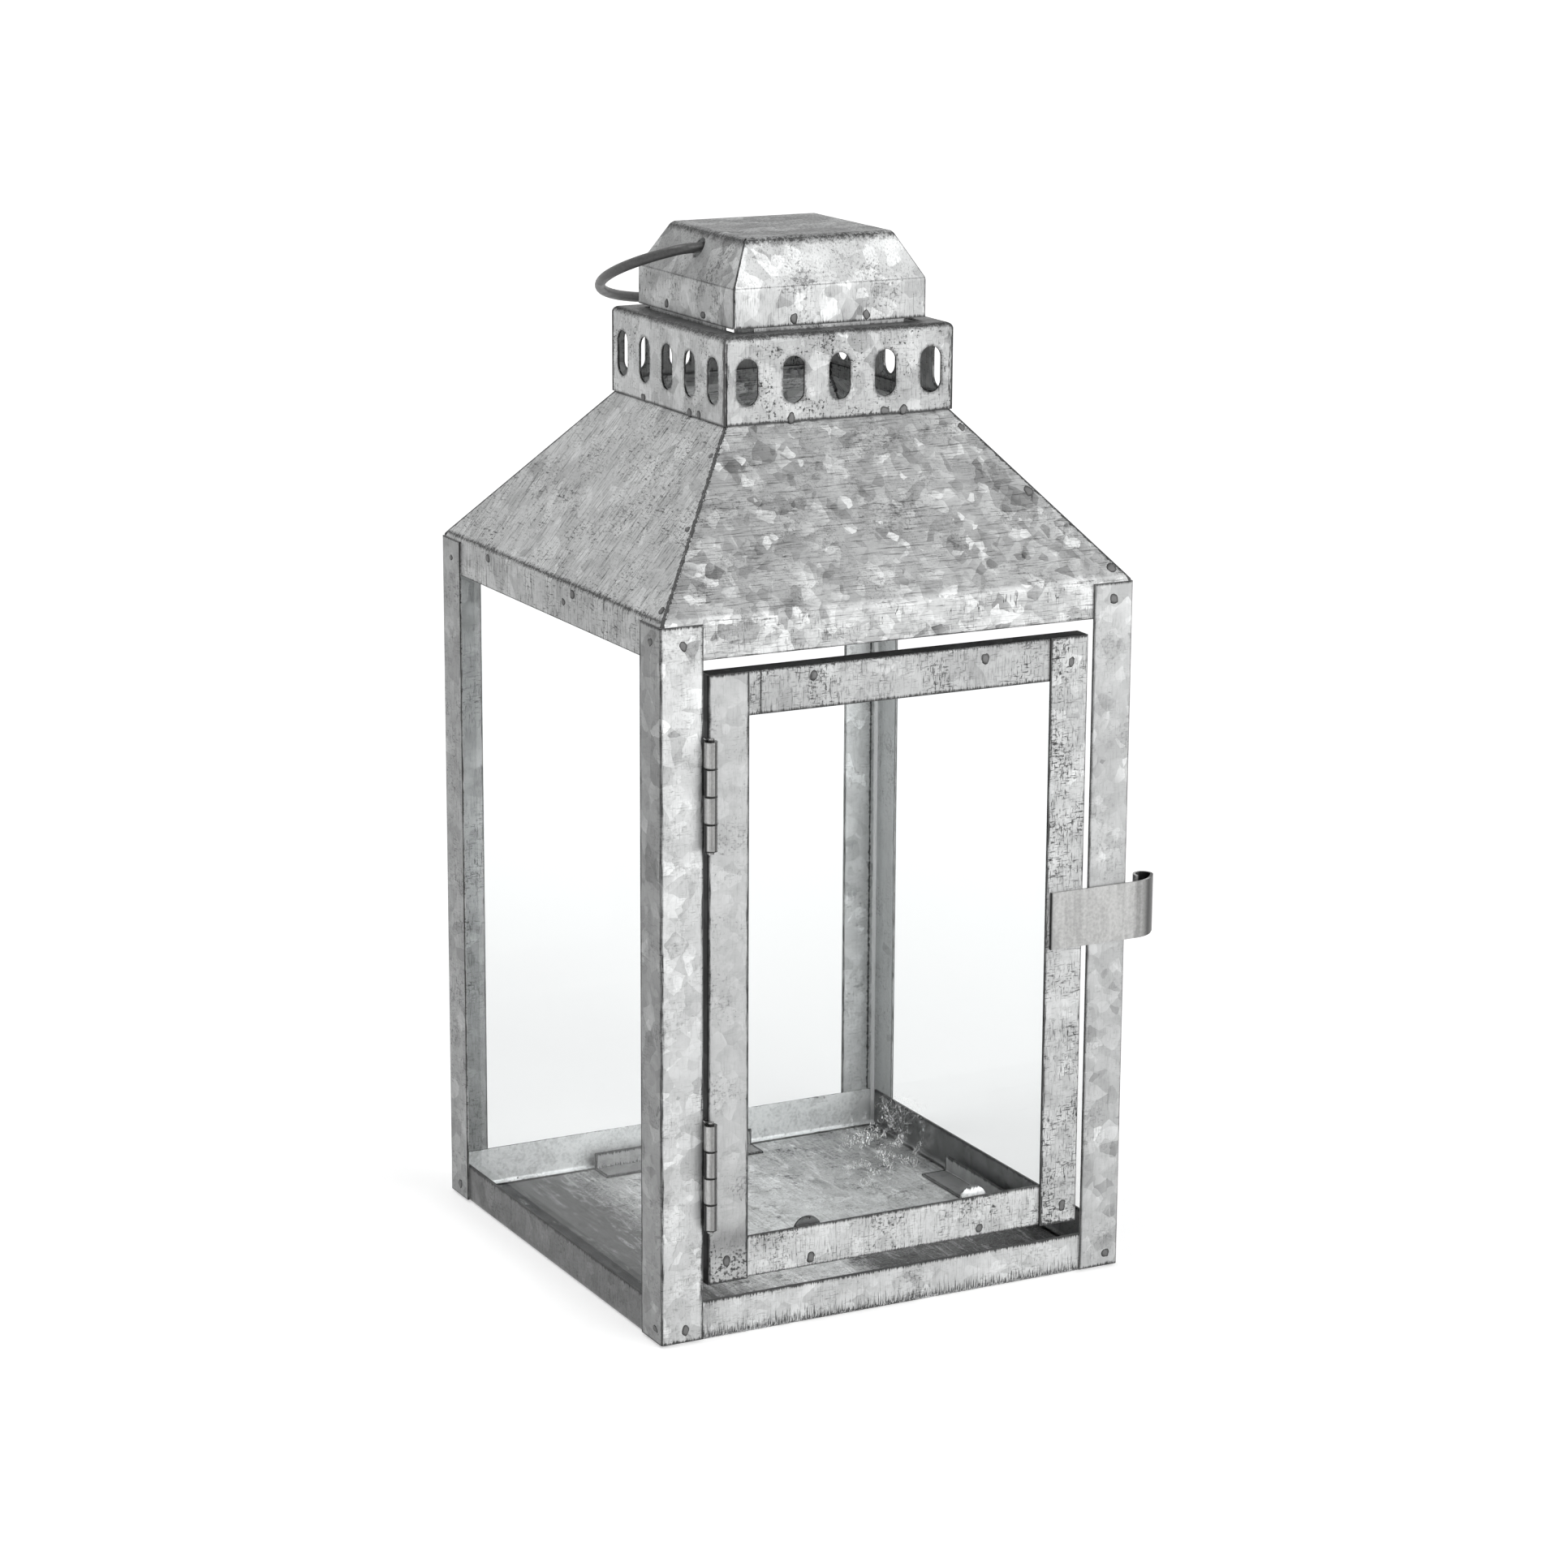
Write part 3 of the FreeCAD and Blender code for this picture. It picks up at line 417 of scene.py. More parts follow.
def crystals(tree, patch, size, power, strength):
    """Grey of one layer of angular zinc crystals, most of them near nought and a few far from it."""
    shake = add(
        tree, "ShaderNodeTexNoise", {"Vector": patch, "Scale": 1.1 / size, "Detail": 2.0}, "Color",
    )
    centred = add(tree, "ShaderNodeVectorMath", [shake, NOISE_MIDDLE], operation="SUBTRACT")
    pushed = add(
        tree, "ShaderNodeVectorMath", [centred, (0.45 * size,) * 3, patch], operation="MULTIPLY_ADD",
    )
    cells = add(tree, "ShaderNodeTexVoronoi", {"Vector": pushed, "Scale": 1 / size}, "Color")
    chance = add(tree, "ShaderNodeSeparateColor", [cells]).node
    tilt = add(tree, "ShaderNodeVectorMath", [cells, NOISE_MIDDLE], operation="SUBTRACT")
    middle = cells.node.outputs["Position"]
    inside = add(tree, "ShaderNodeVectorMath", [pushed, middle], operation="SUBTRACT")
    slope = add(tree, "ShaderNodeVectorMath", [inside, tilt], "Value", operation="DOT_PRODUCT")
    signed = add(tree, "ShaderNodeMath", [chance.outputs[0], 2.0, -1.0], operation="MULTIPLY_ADD")
    tail = add(tree, "ShaderNodeMath", [signed, power], operation="POWER")
    lean = add(tree, "ShaderNodeMath", [slope, 1.4 / size, 1.0], operation="MULTIPLY_ADD")
    grey = add(tree, "ShaderNodeMath", [tail, strength], operation="MULTIPLY")
    shaded = add(tree, "ShaderNodeMath", [grey, lean], operation="MULTIPLY")
    return shaded, slope, chance


def sheet_material(node, look, extra=None):
    """Hot-dip galvanised steel sheet, rolled and folded.

    Angular zinc crystals of several millimetres, each with its own grey and a shade across it,
    under fine rolling marks, specks and dark lines along the edges; faces carry painted light and shade
    by the way they look, inward faces carry painted shade, and bands add dirt, painted shade and highlights.
    """
    settings = bpy.context.scene.lantern.sheet
    material, tree, shader = new_material(f"galvanised_{node}")
    place, normal = surface(tree)
    shift = PATCH_STEP * sorted(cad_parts).index(node)
    patch = add(tree, "ShaderNodeVectorMath", [place, (shift, 2 * shift, -shift)], operation="ADD")

    # Large crystals, small flakes and cloudy patches of the coat
    large, slope, chance = crystals(tree, patch, look.crystal, power=3.0, strength=look.contrast)
    medium = crystals(tree, patch, 0.62 * look.crystal, power=3.0, strength=0.8 * look.contrast)[0]
    small = crystals(tree, patch, 0.48 * look.crystal, power=13.0, strength=look.sparkle)[0]
    bright = add(tree, "ShaderNodeMath", [small, -0.16], operation="MAXIMUM")
    coarse = add(tree, "ShaderNodeMath", [large, medium], operation="ADD")
    both = add(tree, "ShaderNodeMath", [coarse, bright], operation="ADD")
    steepness = 0.6 * look.contrast / look.crystal
    facet = add(tree, "ShaderNodeMath", [slope, steepness, both], operation="MULTIPLY_ADD")
    cloud = add(
        tree, "ShaderNodeTexNoise", {"Vector": patch, "Scale": 0.05, "Detail": 5.0, "Roughness": 0.6},
    )
    dim = 0.86 * look.tone
    full = 1.12 * look.tone
    cloudy = add(tree, "ShaderNodeMapRange", [cloud, 0.3, 0.7, dim, full])
    coat = add(tree, "ShaderNodeMath", [facet, cloudy, cloudy], operation="MULTIPLY_ADD")
    # Painted light and shade: each face is made lighter or darker by the way it looks
    for direction, start, end, gain in look.painted_shading:
        facing = add(tree, "ShaderNodeVectorMath", [normal, direction], "Value", operation="DOT_PRODUCT")
        share = add(tree, "ShaderNodeMapRange", [facing, start, end, 1.0, gain])
        coat = add(tree, "ShaderNodeMath", [coat, share], operation="MULTIPLY")

    # Long rolling marks, and short ones both ways, drawn coarser than real ones so that they show
    finest = tuple(1 / length for length in look.grain)
    lines = add(tree, "ShaderNodeMapping", {"Vector": patch, "Scale": finest})
    mark = add(
        tree, "ShaderNodeTexNoise", {"Vector": lines, "Scale": 1.0, "Detail": 3.0, "Roughness": 0.65},
    )
    scratched = add(tree, "ShaderNodeMapRange", [mark, 0.53, 0.7, 0.0, look.scratch])
    dashes = []
    for stretch in ((2.4, 2.4, 0.45), (0.45, 0.45, 2.4)):
        short = add(tree, "ShaderNodeMapping", {"Vector": patch, "Scale": stretch})
        dashes.append(add(tree, "ShaderNodeTexNoise", {"Vector": short, "Scale": 1.0, "Detail": 2.0}))
    woven = add(tree, "ShaderNodeMapRange", [strongest(tree, *dashes), 0.56, 0.7, 0.0, look.weave])
    region = add(tree, "ShaderNodeTexNoise", {"Vector": patch, "Scale": 0.08, "Detail": 3.0})
    crowded = add(tree, "ShaderNodeMapRange", [region, 0.38, 0.62, 0.35, 1.4])
    dirt_and_shade = add(tree, "ShaderNodeMath", [woven, crowded, scratched], operation="MULTIPLY_ADD")

    # Specks of wear, thicker in some places than in others
    fine = add(
        tree, "ShaderNodeTexNoise", {"Vector": patch, "Scale": 1.1, "Detail": 3.0, "Roughness": 0.6},
    )
    crowd = add(tree, "ShaderNodeMath", [region, 0.7, fine], operation="MULTIPLY_ADD")
    speck = add(tree, "ShaderNodeMapRange", [crowd, 0.98, 1.08, 0.0, look.specks])
    dirt_and_shade = add(tree, "ShaderNodeMath", [dirt_and_shade, speck], operation="ADD")

    # Dark lines along the outer edges, and bands along bends and edges: dirt, painted shade and painted
    # highlights
    rag = add(tree, "ShaderNodeMapRange", [mark, 0.42, 0.68, 0.0, 1.0])
    worn = dark_edge_lines(tree, place, normal, rag, node, look)
    dirt_and_shade = add(tree, "ShaderNodeMath", [worn, 0.95, dirt_and_shade], operation="MULTIPLY_ADD")
    for direction, middle, half, gain in look.bands:
        height = add(tree, "ShaderNodeVectorMath", [place, direction], "Value", operation="DOT_PRODUCT")
        away = away_from(tree, height, middle)
        uneven = add(tree, "ShaderNodeMath", [fine, 2.0 * half, away], operation="MULTIPLY_ADD")
        band = add(tree, "ShaderNodeMapRange", [uneven, 0.8 * half, 1.8 * half, abs(gain), 0.0])
        if gain < 0:
            dirt_and_shade = add(tree, "ShaderNodeMath", [dirt_and_shade, band], operation="ADD")
        else:
            # Painted highlight: a band with a gain above nought makes the coat paler and takes dirt away
            coat = add(tree, "ShaderNodeMath", [band, 0.4, coat], operation="MULTIPLY_ADD")
            dirt_and_shade = add(tree, "ShaderNodeMath", [dirt_and_shade, band], operation="SUBTRACT")
    if extra:
        dirt_and_shade = add(tree, "ShaderNodeMath", [dirt_and_shade, extra(tree, place, normal, fine)], operation="ADD")

    # Painted shade: faces that look inwards are darker
    outward = add(tree, "ShaderNodeVectorMath", [place, normal], "Value", operation="DOT_PRODUCT")
    dull = add(tree, "ShaderNodeMapRange", [outward, -20.0, 0.0, look.inside, 0.0])
    dirt_and_shade = add(tree, "ShaderNodeMath", [dirt_and_shade, dull], operation="ADD")

    limited = add(tree, "ShaderNodeMath", [coat, look.brightest], operation="MINIMUM")
    clean = add(
        tree, "ShaderNodeVectorMath", {0: tuple(settings.zinc), "Scale": limited}, operation="SCALE",
    )
    # Dirt and painted shade both darken the coat towards the soot colour
    soiled_and_shaded = add(tree, "ShaderNodeMath", [dirt_and_shade, 0.93], operation="MINIMUM")
    colour = add(
        tree, "ShaderNodeMix",
        {"Factor": soiled_and_shaded, "A": clean, "B": (*settings.soot_and_shade, 1)}, 2, data_type="RGBA",
    )
    rough = add(tree, "ShaderNodeMapRange", [chance.outputs[2], 0.0, 1.0, 0.42, 0.56])
    relief = add(tree, "ShaderNodeMath", [mark, 0.6, slope], operation="MULTIPLY_ADD")
    bump = add(tree, "ShaderNodeBump", {"Strength": 0.35, "Distance": 0.08 * MM, "Height": relief})
    feed(tree, shader, {"Base Color": colour, "Metallic": 0.5, "Roughness": rough, "Normal": bump})
    return material


def slot_wear(tree, place, normal, fine):
    """Mask of the burrs and specks round the slots of the vent collar."""
    along = add(tree, "ShaderNodeSeparateXYZ", [place]).node
    faces = add(tree, "ShaderNodeSeparateXYZ", [normal]).node
    frontal = add(tree, "ShaderNodeMath", [faces.outputs[1]], operation="ABSOLUTE")
    across = add(
        tree, "ShaderNodeMix",
        {"Factor": frontal, "A": along.outputs[1], "B": along.outputs[0]}, data_type="FLOAT",
    )
    nearest = add(tree, "ShaderNodeMath", [across, SLOT_PITCH / 2], operation="PINGPONG")
    height = away_from(tree, along.outputs[2], SLOT_MIDDLE)
    straight = SLOT_LENGTH / 2 - SLOT_WIDTH / 2
    above = add(tree, "ShaderNodeMath", [height, straight], operation="SUBTRACT")
    end = add(tree, "ShaderNodeMath", [above, 0.0], operation="MAXIMUM")
    flat = add(tree, "ShaderNodeCombineXYZ", [nearest, end])
    distance = add(tree, "ShaderNodeVectorMath", [flat], "Value", operation="LENGTH")
    uneven = add(tree, "ShaderNodeMath", [fine, 2.2, distance], operation="MULTIPLY_ADD")
    rim = SLOT_WIDTH / 2
    return add(tree, "ShaderNodeMapRange", [uneven, rim + 0.9, rim + 1.9, 0.75, 0.0])


def eave_cracks(tree, place, normal, fine):
    """Mask of the short upright cracks in the coat under the eave bend."""
    height = add(tree, "ShaderNodeSeparateXYZ", [place], 2)
    lines = add(tree, "ShaderNodeMapping", {"Vector": place, "Scale": (0.55, 0.55, 0.09)})
    crack = add(tree, "ShaderNodeTexNoise", {"Vector": lines, "Scale": 1.0, "Detail": 1.0})
    ridge = add(tree, "ShaderNodeMath", [crack, 0.68, 0.008], operation="COMPARE")
    away = away_from(tree, height, CRACK_HEIGHT)
    near = add(tree, "ShaderNodeMapRange", [away, 1.0, 4.5, 0.75, 0.0])
    return add(tree, "ShaderNodeMath", [ridge, near], operation="MULTIPLY")


def tray_floor_tones(tree, place, normal, fine):
    """Mask of the tray floor: darker on the left and at the back right, a painted door shadow, brushed
    swirls.
    """
    along = add(tree, "ShaderNodeSeparateXYZ", [place]).node
    upward = add(tree, "ShaderNodeSeparateXYZ", [normal], 2)
    left = add(tree, "ShaderNodeMapRange", [along.outputs[0], -44.0, -13.0, 0.93, 0.0])
    corner = add(tree, "ShaderNodeVectorMath", [place, DARKER_CORNER], "Value", operation="DISTANCE")
    far = add(tree, "ShaderNodeMapRange", [corner, 15.0, 80.0, 0.45, 0.0])
    # Painted shadow of the door on the floor, towards the front and the right
    door_shadow_depth = add(tree, "ShaderNodeMapRange", [along.outputs[1], -32.0, -12.0, 1.0, 0.0])
    door_shadow_side = add(tree, "ShaderNodeMapRange", [along.outputs[0], 1.0, 12.0, 0.15, 0.8])
    near = add(tree, "ShaderNodeMath", [door_shadow_depth, door_shadow_side], operation="MULTIPLY")
    lines = add(tree, "ShaderNodeMapping", {"Vector": place, "Scale": (0.5, 0.07, 1.0)})
    brushed = add(
        tree, "ShaderNodeTexNoise", {"Vector": lines, "Scale": 1.0, "Detail": 3.0, "Distortion": 1.2},
    )
    swirl = add(tree, "ShaderNodeMapRange", [brushed, 0.5, 0.7, 0.0, 0.3])
    # Brushing leaves dark streaks on the clean coat and pale ones on the darker parts and the painted shadow
    stain = away_from(tree, strongest(tree, left, far, near), swirl)
    return add(tree, "ShaderNodeMath", [stain, upward], operation="MULTIPLY")


def stile_foot(tree, place, normal, fine):
    """Mask of the dark stain under the lower hinge and of the specked foot of a stile."""
    height = add(tree, "ShaderNodeSeparateXYZ", [place], 2)
    away = away_from(tree, height, HINGE_STAIN_HEIGHT)
    stain = add(tree, "ShaderNodeMapRange", [away, 1.0, 7.0, 0.4, 0.0])
    low = add(tree, "ShaderNodeMapRange", [height, 24.0, 34.0, 0.9, 0.0])
    speck = add(tree, "ShaderNodeMapRange", [fine, 0.5, 0.62, 0.0, 1.0])
    foot = add(tree, "ShaderNodeMath", [speck, low], operation="MULTIPLY")
    return strongest(tree, stain, foot)


def rail_seam(tree, place, normal, fine):
    """Mask of the scored seam near the left end of the top rail."""
    across = add(tree, "ShaderNodeSeparateXYZ", [place], 0)
    line = add(tree, "ShaderNodeMath", [across, RAIL_SEAM, 0.3], operation="COMPARE")
    return add(tree, "ShaderNodeMath", [line, 0.7], operation="MULTIPLY")


class LANTERN_OT_sheets(bpy.types.Operator):
    """Finish every panel, post, tray and clip as galvanised sheet"""
    bl_idname = "lantern.sheets"
    bl_label = "Galvanised sheet"

    def execute(self, context):
        looks = {node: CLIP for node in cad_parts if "clip" in node}
        looks |= {
            "roof_panel_front": ROOF_FRONT,
            "roof_panel_back": ROOF_FRONT,
            "roof_panel_left": ROOF_SIDE,
            # Painted shade: the right panel is darker so that the key lamp's highlight stays below white
            "roof_panel_right": replace(ROOF_SIDE, tone=0.9),
            "base_tray": TRAY,
            "chimney_cap": CAP,
            "vent_collar": COLLAR,
            # Front posts: the left one is a lighter copy with painted shade on the face that looks left, the
            # right one a darker copy
            "corner_post_front_left": replace(
                LEFT_POST, tone=1.18, contrast=0.28, weave=0.24, specks=0.22, scratch=0.12, edge=0.7,
                ragged=0.6, painted_shading=((LEFT, 0.5, 0.9, 0.6),),
            ),
            "corner_post_front_right": replace(POST, tone=0.93),
            "corner_post_back_left": LEFT_POST,
            # Painted light on the back right post, with a painted shade line and a painted highlight along
            # its inner fold
            "corner_post_back_right": replace(
                POST, tone=1.35, bands=((RIGHT, 71.3, 0.6, -1.5), (RIGHT, 72.6, 0.3, 1.5)),
            ),
            "door_stile_left": replace(
                STILE, tone=0.96, contrast=0.12, weave=0.16, specks=0.35, scratch=0.1,
            ),
            "door_stile_right": STILE,
            # Painted shade on the top rail's upper face, with a darker top rail and a lighter bottom rail
            "door_rail_top": replace(RAIL, tone=0.87, painted_shading=((UP, 0.75, 0.95, 0.1),)),
            "door_rail_bottom": replace(RAIL, tone=1.28),
            # Painted shade on the left door clip and painted light on the right one
            "door_clip_bottom_left": replace(CLIP, tone=0.3),
            "door_clip_bottom_right": replace(CLIP, tone=1.9, brightest=2.4, inside=0.0, painted_shading=()),
        }
        extras = {
            "vent_collar": slot_wear,
            "roof_panel_front": eave_cracks,
            "roof_panel_back": eave_cracks,
            "base_tray": tray_floor_tones,
            "door_stile_left": stile_foot,
            "door_rail_top": rail_seam,
        }
        for node, look in looks.items():
            cover(node, sheet_material(node, look, extras.get(node)))
        return {"FINISHED"}


class LANTERN_OT_glass(bpy.types.Operator):
    """Finish the four panes as clear float glass"""
    bl_idname = "lantern.glass"
    bl_label = "Glass panes"

    def execute(self, context):
        settings = context.scene.lantern.glass
        sides = self.float_glass("float_glass_sides", settings.tint, axis=0)
        cover("glass_left", sides)
        cover("glass_right", sides)
        cover("glass_back", self.float_glass("float_glass_back", settings.tint, axis=1))
        scuffed = self.float_glass("scuffed_float_glass", settings.tint, axis=1, scuffed=True)
        self.door_pane(settings, scuffed)
        return {"FINISHED"}

    def door_pane(self, settings, material):
        # The cut pane with its ground edges, a hair's breadth behind the rails that hold it
        low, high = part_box("door_glass")
        low.y += settings.clearance
        shape = bmesh.new()
        bmesh.ops.create_cube(shape, size=1.0)
        bmesh.ops.scale(shape, vec=high - low, verts=shape.verts)
        bmesh.ops.translate(shape, vec=(low + high) / 2, verts=shape.verts)
        bmesh.ops.bevel(shape, geom=shape.edges[:], offset=settings.ground_edge, segments=1, affect="EDGES")
        mesh = bpy.data.meshes.new("door_pane")
        shape.to_mesh(mesh)
        shape.free()
        mesh.materials.append(material)
        piece = new_object("door_pane", mesh)
        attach(piece, "door")
        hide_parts("door_glass")

    def float_glass(self, name, tint, axis, scuffed=False):
        # Float glass, smooth on both faces: nearly invisible, with wipe marks, painted shade low down that
        # stands in for the darker ground seen through it, and pale ground edges; the axis is the one its
        # faces look along
        material, tree, shader = new_material(name)
        place, normal = surface(tree)
        height = add(tree, "ShaderNodeSeparateXYZ", [place], 2)
        # Painted shade: the panes grow greyer towards their foot
        low_shade = add(tree, "ShaderNodeMapRange", [height, 15.0, 140.0, 0.9, 1.0])
        shaded_tint = add(tree, "ShaderNodeVectorMath", {0: tuple(tint), "Scale": low_shade}, operation="SCALE")
        wipe = add(
            tree, "ShaderNodeTexNoise", {"Vector": place, "Scale": 0.06, "Detail": 4.0, "Distortion": 1.5},
        )
        film = add(tree, "ShaderNodeMapRange", [wipe, 0.55, 0.8, 0.0, 0.05])
        # Lamps shine through the panes without a dark shadow
        path = add(tree, "ShaderNodeLightPath", output="Is Shadow Ray")
        clear = add(tree, "ShaderNodeMath", [1.0, path], operation="SUBTRACT")
        facing = add(tree, "ShaderNodeSeparateXYZ", [normal], axis)
        turned = add(tree, "ShaderNodeMath", [facing], operation="ABSOLUTE")
        ground = add(tree, "ShaderNodeMapRange", [turned, 0.2, 0.6, 0.55, 0.0])
        if scuffed:
            ground = strongest(tree, ground, self.scuffs(tree, place))
        kept = add(tree, "ShaderNodeMath", [1.0, ground], operation="SUBTRACT")
        feed(tree, shader, {
            "Base Color": shaded_tint, "Roughness": film, "IOR": 1.15, "Alpha": clear, "Transmission Weight": kept,
        })
        return material

    def scuffs(self, tree, place):
        # A patch of fine white scratches low on the pane
        distance = add(tree, "ShaderNodeVectorMath", [place, SCUFF_MIDDLE], "Value", operation="DISTANCE")
        near = add(tree, "ShaderNodeMapRange", [distance, 5.0, 19.0, 0.8, 0.0])
        lines = add(
            tree, "ShaderNodeMapping",
            {"Vector": place, "Rotation": (0.0, math.radians(35), 0.0), "Scale": (1.6, 1.0, 0.6)},
        )
        grain = add(
            tree, "ShaderNodeTexNoise", {"Vector": lines, "Scale": 1.0, "Detail": 2.0, "Distortion": 0.5},
        )
        line = add(tree, "ShaderNodeMath", [grain, 0.5, 0.014], operation="COMPARE")
        patch = add(tree, "ShaderNodeTexNoise", {"Vector": place, "Scale": 0.22, "Detail": 2.0})
        broken = add(tree, "ShaderNodeMapRange", [patch, 0.48, 0.6, 0.0, 1.0])
        thin = add(tree, "ShaderNodeMath", [line, broken], operation="MULTIPLY")
        return add(tree, "ShaderNodeMath", [thin, near], operation="MULTIPLY")


def drawn_steel(name, colour, roughness, grain, metallic, dirt_and_shade=None):
    """Bare steel with drawing lines; grain is the lines' spacing along X, Y, Z in millimetres."""
    material, tree, shader = new_material(name)
    place, normal = surface(tree)
    finest = tuple(1 / length for length in grain)
    lines = add(tree, "ShaderNodeMapping", {"Vector": place, "Scale": finest})
    mark = add(tree, "ShaderNodeTexNoise", {"Vector": lines, "Scale": 1.0, "Detail": 3.0})
    fine = add(tree, "ShaderNodeTexNoise", {"Vector": place, "Scale": 1.4, "Detail": 3.0})
    mixed = add(tree, "ShaderNodeMath", [mark, fine], operation="ADD")
    level = add(tree, "ShaderNodeMapRange", [mixed, 0.75, 1.25, 0.8, 1.16])
    if dirt_and_shade:
        kept = add(tree, "ShaderNodeMath", [1.0, dirt_and_shade(tree, place, normal)], operation="SUBTRACT")
        level = add(tree, "ShaderNodeMath", [level, kept], operation="MULTIPLY")
    tone = add(tree, "ShaderNodeVectorMath", {0: tuple(colour), "Scale": level}, operation="SCALE")
    rough = add(tree, "ShaderNodeMapRange", [mark, 0.3, 0.7, roughness - 0.06, roughness + 0.06])
    bump = add(tree, "ShaderNodeBump", {"Strength": 0.2, "Distance": 0.03 * MM, "Height": mark})
    feed(tree, shader, {"Base Color": tone, "Metallic": metallic, "Roughness": rough, "Normal": bump})
    return material


def latch_painted_shade(tree, place, normal):
    """Mask of painted shade on the latch strip: its cut end, the crease at the scroll and the scroll's right
    side.
    """
    along = add(tree, "ShaderNodeSeparateXYZ", [place], 0)
    side = add(tree, "ShaderNodeSeparateXYZ", [normal], 0)
    cut = add(tree, "ShaderNodeMapRange", [side, -0.95, -0.6, 0.95, 0.0])
    end = add(tree, "ShaderNodeMapRange", [along, STRIP_START, STRIP_START + 0.5, 0.9, 0.0])
    round_side = add(tree, "ShaderNodeMapRange", [side, 0.1, 0.5, 0.0, 0.88])
    crease = add(tree, "ShaderNodeMapRange", [away_from(tree, along, SCROLL_START), 0.4, 1.7, 0.35, 0.0])
    rolled = add(tree, "ShaderNodeMapRange", [along, SCROLL_START + 4.0, SCROLL_START + 5.8, 0.0, 0.94])
    return strongest(tree, cut, end, round_side, crease, rolled)


def knuckle_dirt_and_shade(tree, place, normal, first):
    """Mask of the dark joints between the knuckles and of painted shade on the barrel: over its front
    and right, leaving a painted highlight down its left, in a stripe on its right and on the far left
    of every other knuckle.

    The lowest knuckle starts at the height first, in millimetres.
    """
    along = add(tree, "ShaderNodeSeparateXYZ", [place]).node
    rise = add(tree, "ShaderNodeMath", [along.outputs[2], first], operation="SUBTRACT")
    gap = add(tree, "ShaderNodeMath", [rise, KNUCKLE_PITCH / 2], operation="PINGPONG")
    seam = add(tree, "ShaderNodeMapRange", [gap, 0.25, 0.5, 0.92, 0.0])
    barrel = add(tree, "ShaderNodeMath", [along.outputs[1], BARREL_BACK], operation="LESS_THAN")
    line = add(tree, "ShaderNodeMath", [seam, barrel], operation="MULTIPLY")
    side = add(tree, "ShaderNodeSeparateXYZ", [normal], 0)
    # Painted shade over the barrel's front and right, leaving a painted highlight down its left side
    beside = add(tree, "ShaderNodeMapRange", [side, -0.75, -0.35, 0.0, 0.5])
    shade_stripe = add(tree, "ShaderNodeMath", [side, 0.36, 0.2], operation="COMPARE")
    behind = add(tree, "ShaderNodeMath", [shade_stripe, 0.85], operation="MULTIPLY")
    pair = add(tree, "ShaderNodeMath", [rise, 2 * KNUCKLE_PITCH], operation="FLOORED_MODULO")
    lower = add(tree, "ShaderNodeMath", [pair, KNUCKLE_PITCH], operation="LESS_THAN")
    hollow_shade = add(tree, "ShaderNodeMapRange", [side, -0.95, -0.8, 0.9, 0.0])
    open_side = add(tree, "ShaderNodeMath", [lower, hollow_shade], operation="MULTIPLY")
    return strongest(tree, line, beside, behind, open_side)


class LANTERN_OT_fittings(bpy.types.Operator):
    """Finish the hinges, their pins and the latch strip as bare steel"""
    bl_idname = "lantern.fittings"
    bl_label = "Hinges and latch"

    def execute(self, context):
        steel = context.scene.lantern.steel
        for level in ("lower", "upper"):
            first = min(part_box(f"{level}_hinge_{leaf}_leaf")[0].z for leaf in ("post", "door")) / MM
            # Cold-rolled hinge steel: smooth and bright, with fine lines along the barrel, dark joints and
            # painted shade on the barrel
            hinge = drawn_steel(
                f"rolled_steel_{level}_hinge", steel.hinge, roughness=0.28, grain=(0.5, 0.5, 12.0),
                metallic=0.7, dirt_and_shade=partial(knuckle_dirt_and_shade, first=first),
            )
            for part in ("post_leaf", "door_leaf", "pin"):
                cover(f"{level}_hinge_{part}", hinge)
        # Spring steel strip: pale and even, with a soft sheen, and painted shade on its cut end and round
        # its scroll
        cover("latch_strip", drawn_steel(
            "spring_latch_steel", steel.latch, roughness=0.4, grain=(1.6, 9.0, 14.0),
            metallic=0.5, dirt_and_shade=latch_painted_shade,
        ))
        return {"FINISHED"}


def arc(across, along, radius, start, end, steps):
    """Points of an arc about a middle, from one angle to another."""
    angles = [start + (end - start) * step / steps for step in range(steps + 1)]
    return [(across + radius * math.cos(angle), along + radius * math.sin(angle)) for angle in angles]


def bail_path(bail):
    """Points along the middle of the wire, from one hooked end to the other."""
    middle = bail.shoulder_radius + math.sqrt(
        (bail.ring_radius - bail.shoulder_radius) ** 2 - bail.straight_end ** 2
    )
    lean = math.atan2(middle - bail.shoulder_radius, bail.straight_end)
    quarter = math.pi / 2
    points = [(bail.hook_inner, -bail.hook_length)]
    points += arc(
        bail.hook_inner + bail.hook_bend, -bail.hook_bend, bail.hook_bend, math.pi, quarter, steps=8,
    )
    points += arc(
        bail.straight_end, bail.shoulder_radius, bail.shoulder_radius, -quarter, -lean, steps=8,
    )
    points += arc(0, middle, bail.ring_radius, -lean, quarter, steps=32)[1:]
    mirrored = [(-x, y) for x, y in reversed(points[:-1])]
    laid = Matrix.Translation((0, 0, bail.axis_height)) @ Matrix.Rotation(-bail.rest_angle, 4, "X")
    return [laid @ Vector((x, y, 0)) for x, y in points + mirrored]


def node_tree(name, lengths):
    """Empty geometry tree with named lengths as its inputs."""
    tree = bpy.data.node_groups.new(name, "GeometryNodeTree")
    tree.interface.new_socket("Geometry", in_out="INPUT", socket_type="NodeSocketGeometry")
    for label in lengths:
        tree.interface.new_socket(label, in_out="INPUT", socket_type="NodeSocketFloat")
    tree.interface.new_socket("Geometry", in_out="OUTPUT", socket_type="NodeSocketGeometry")
    return tree


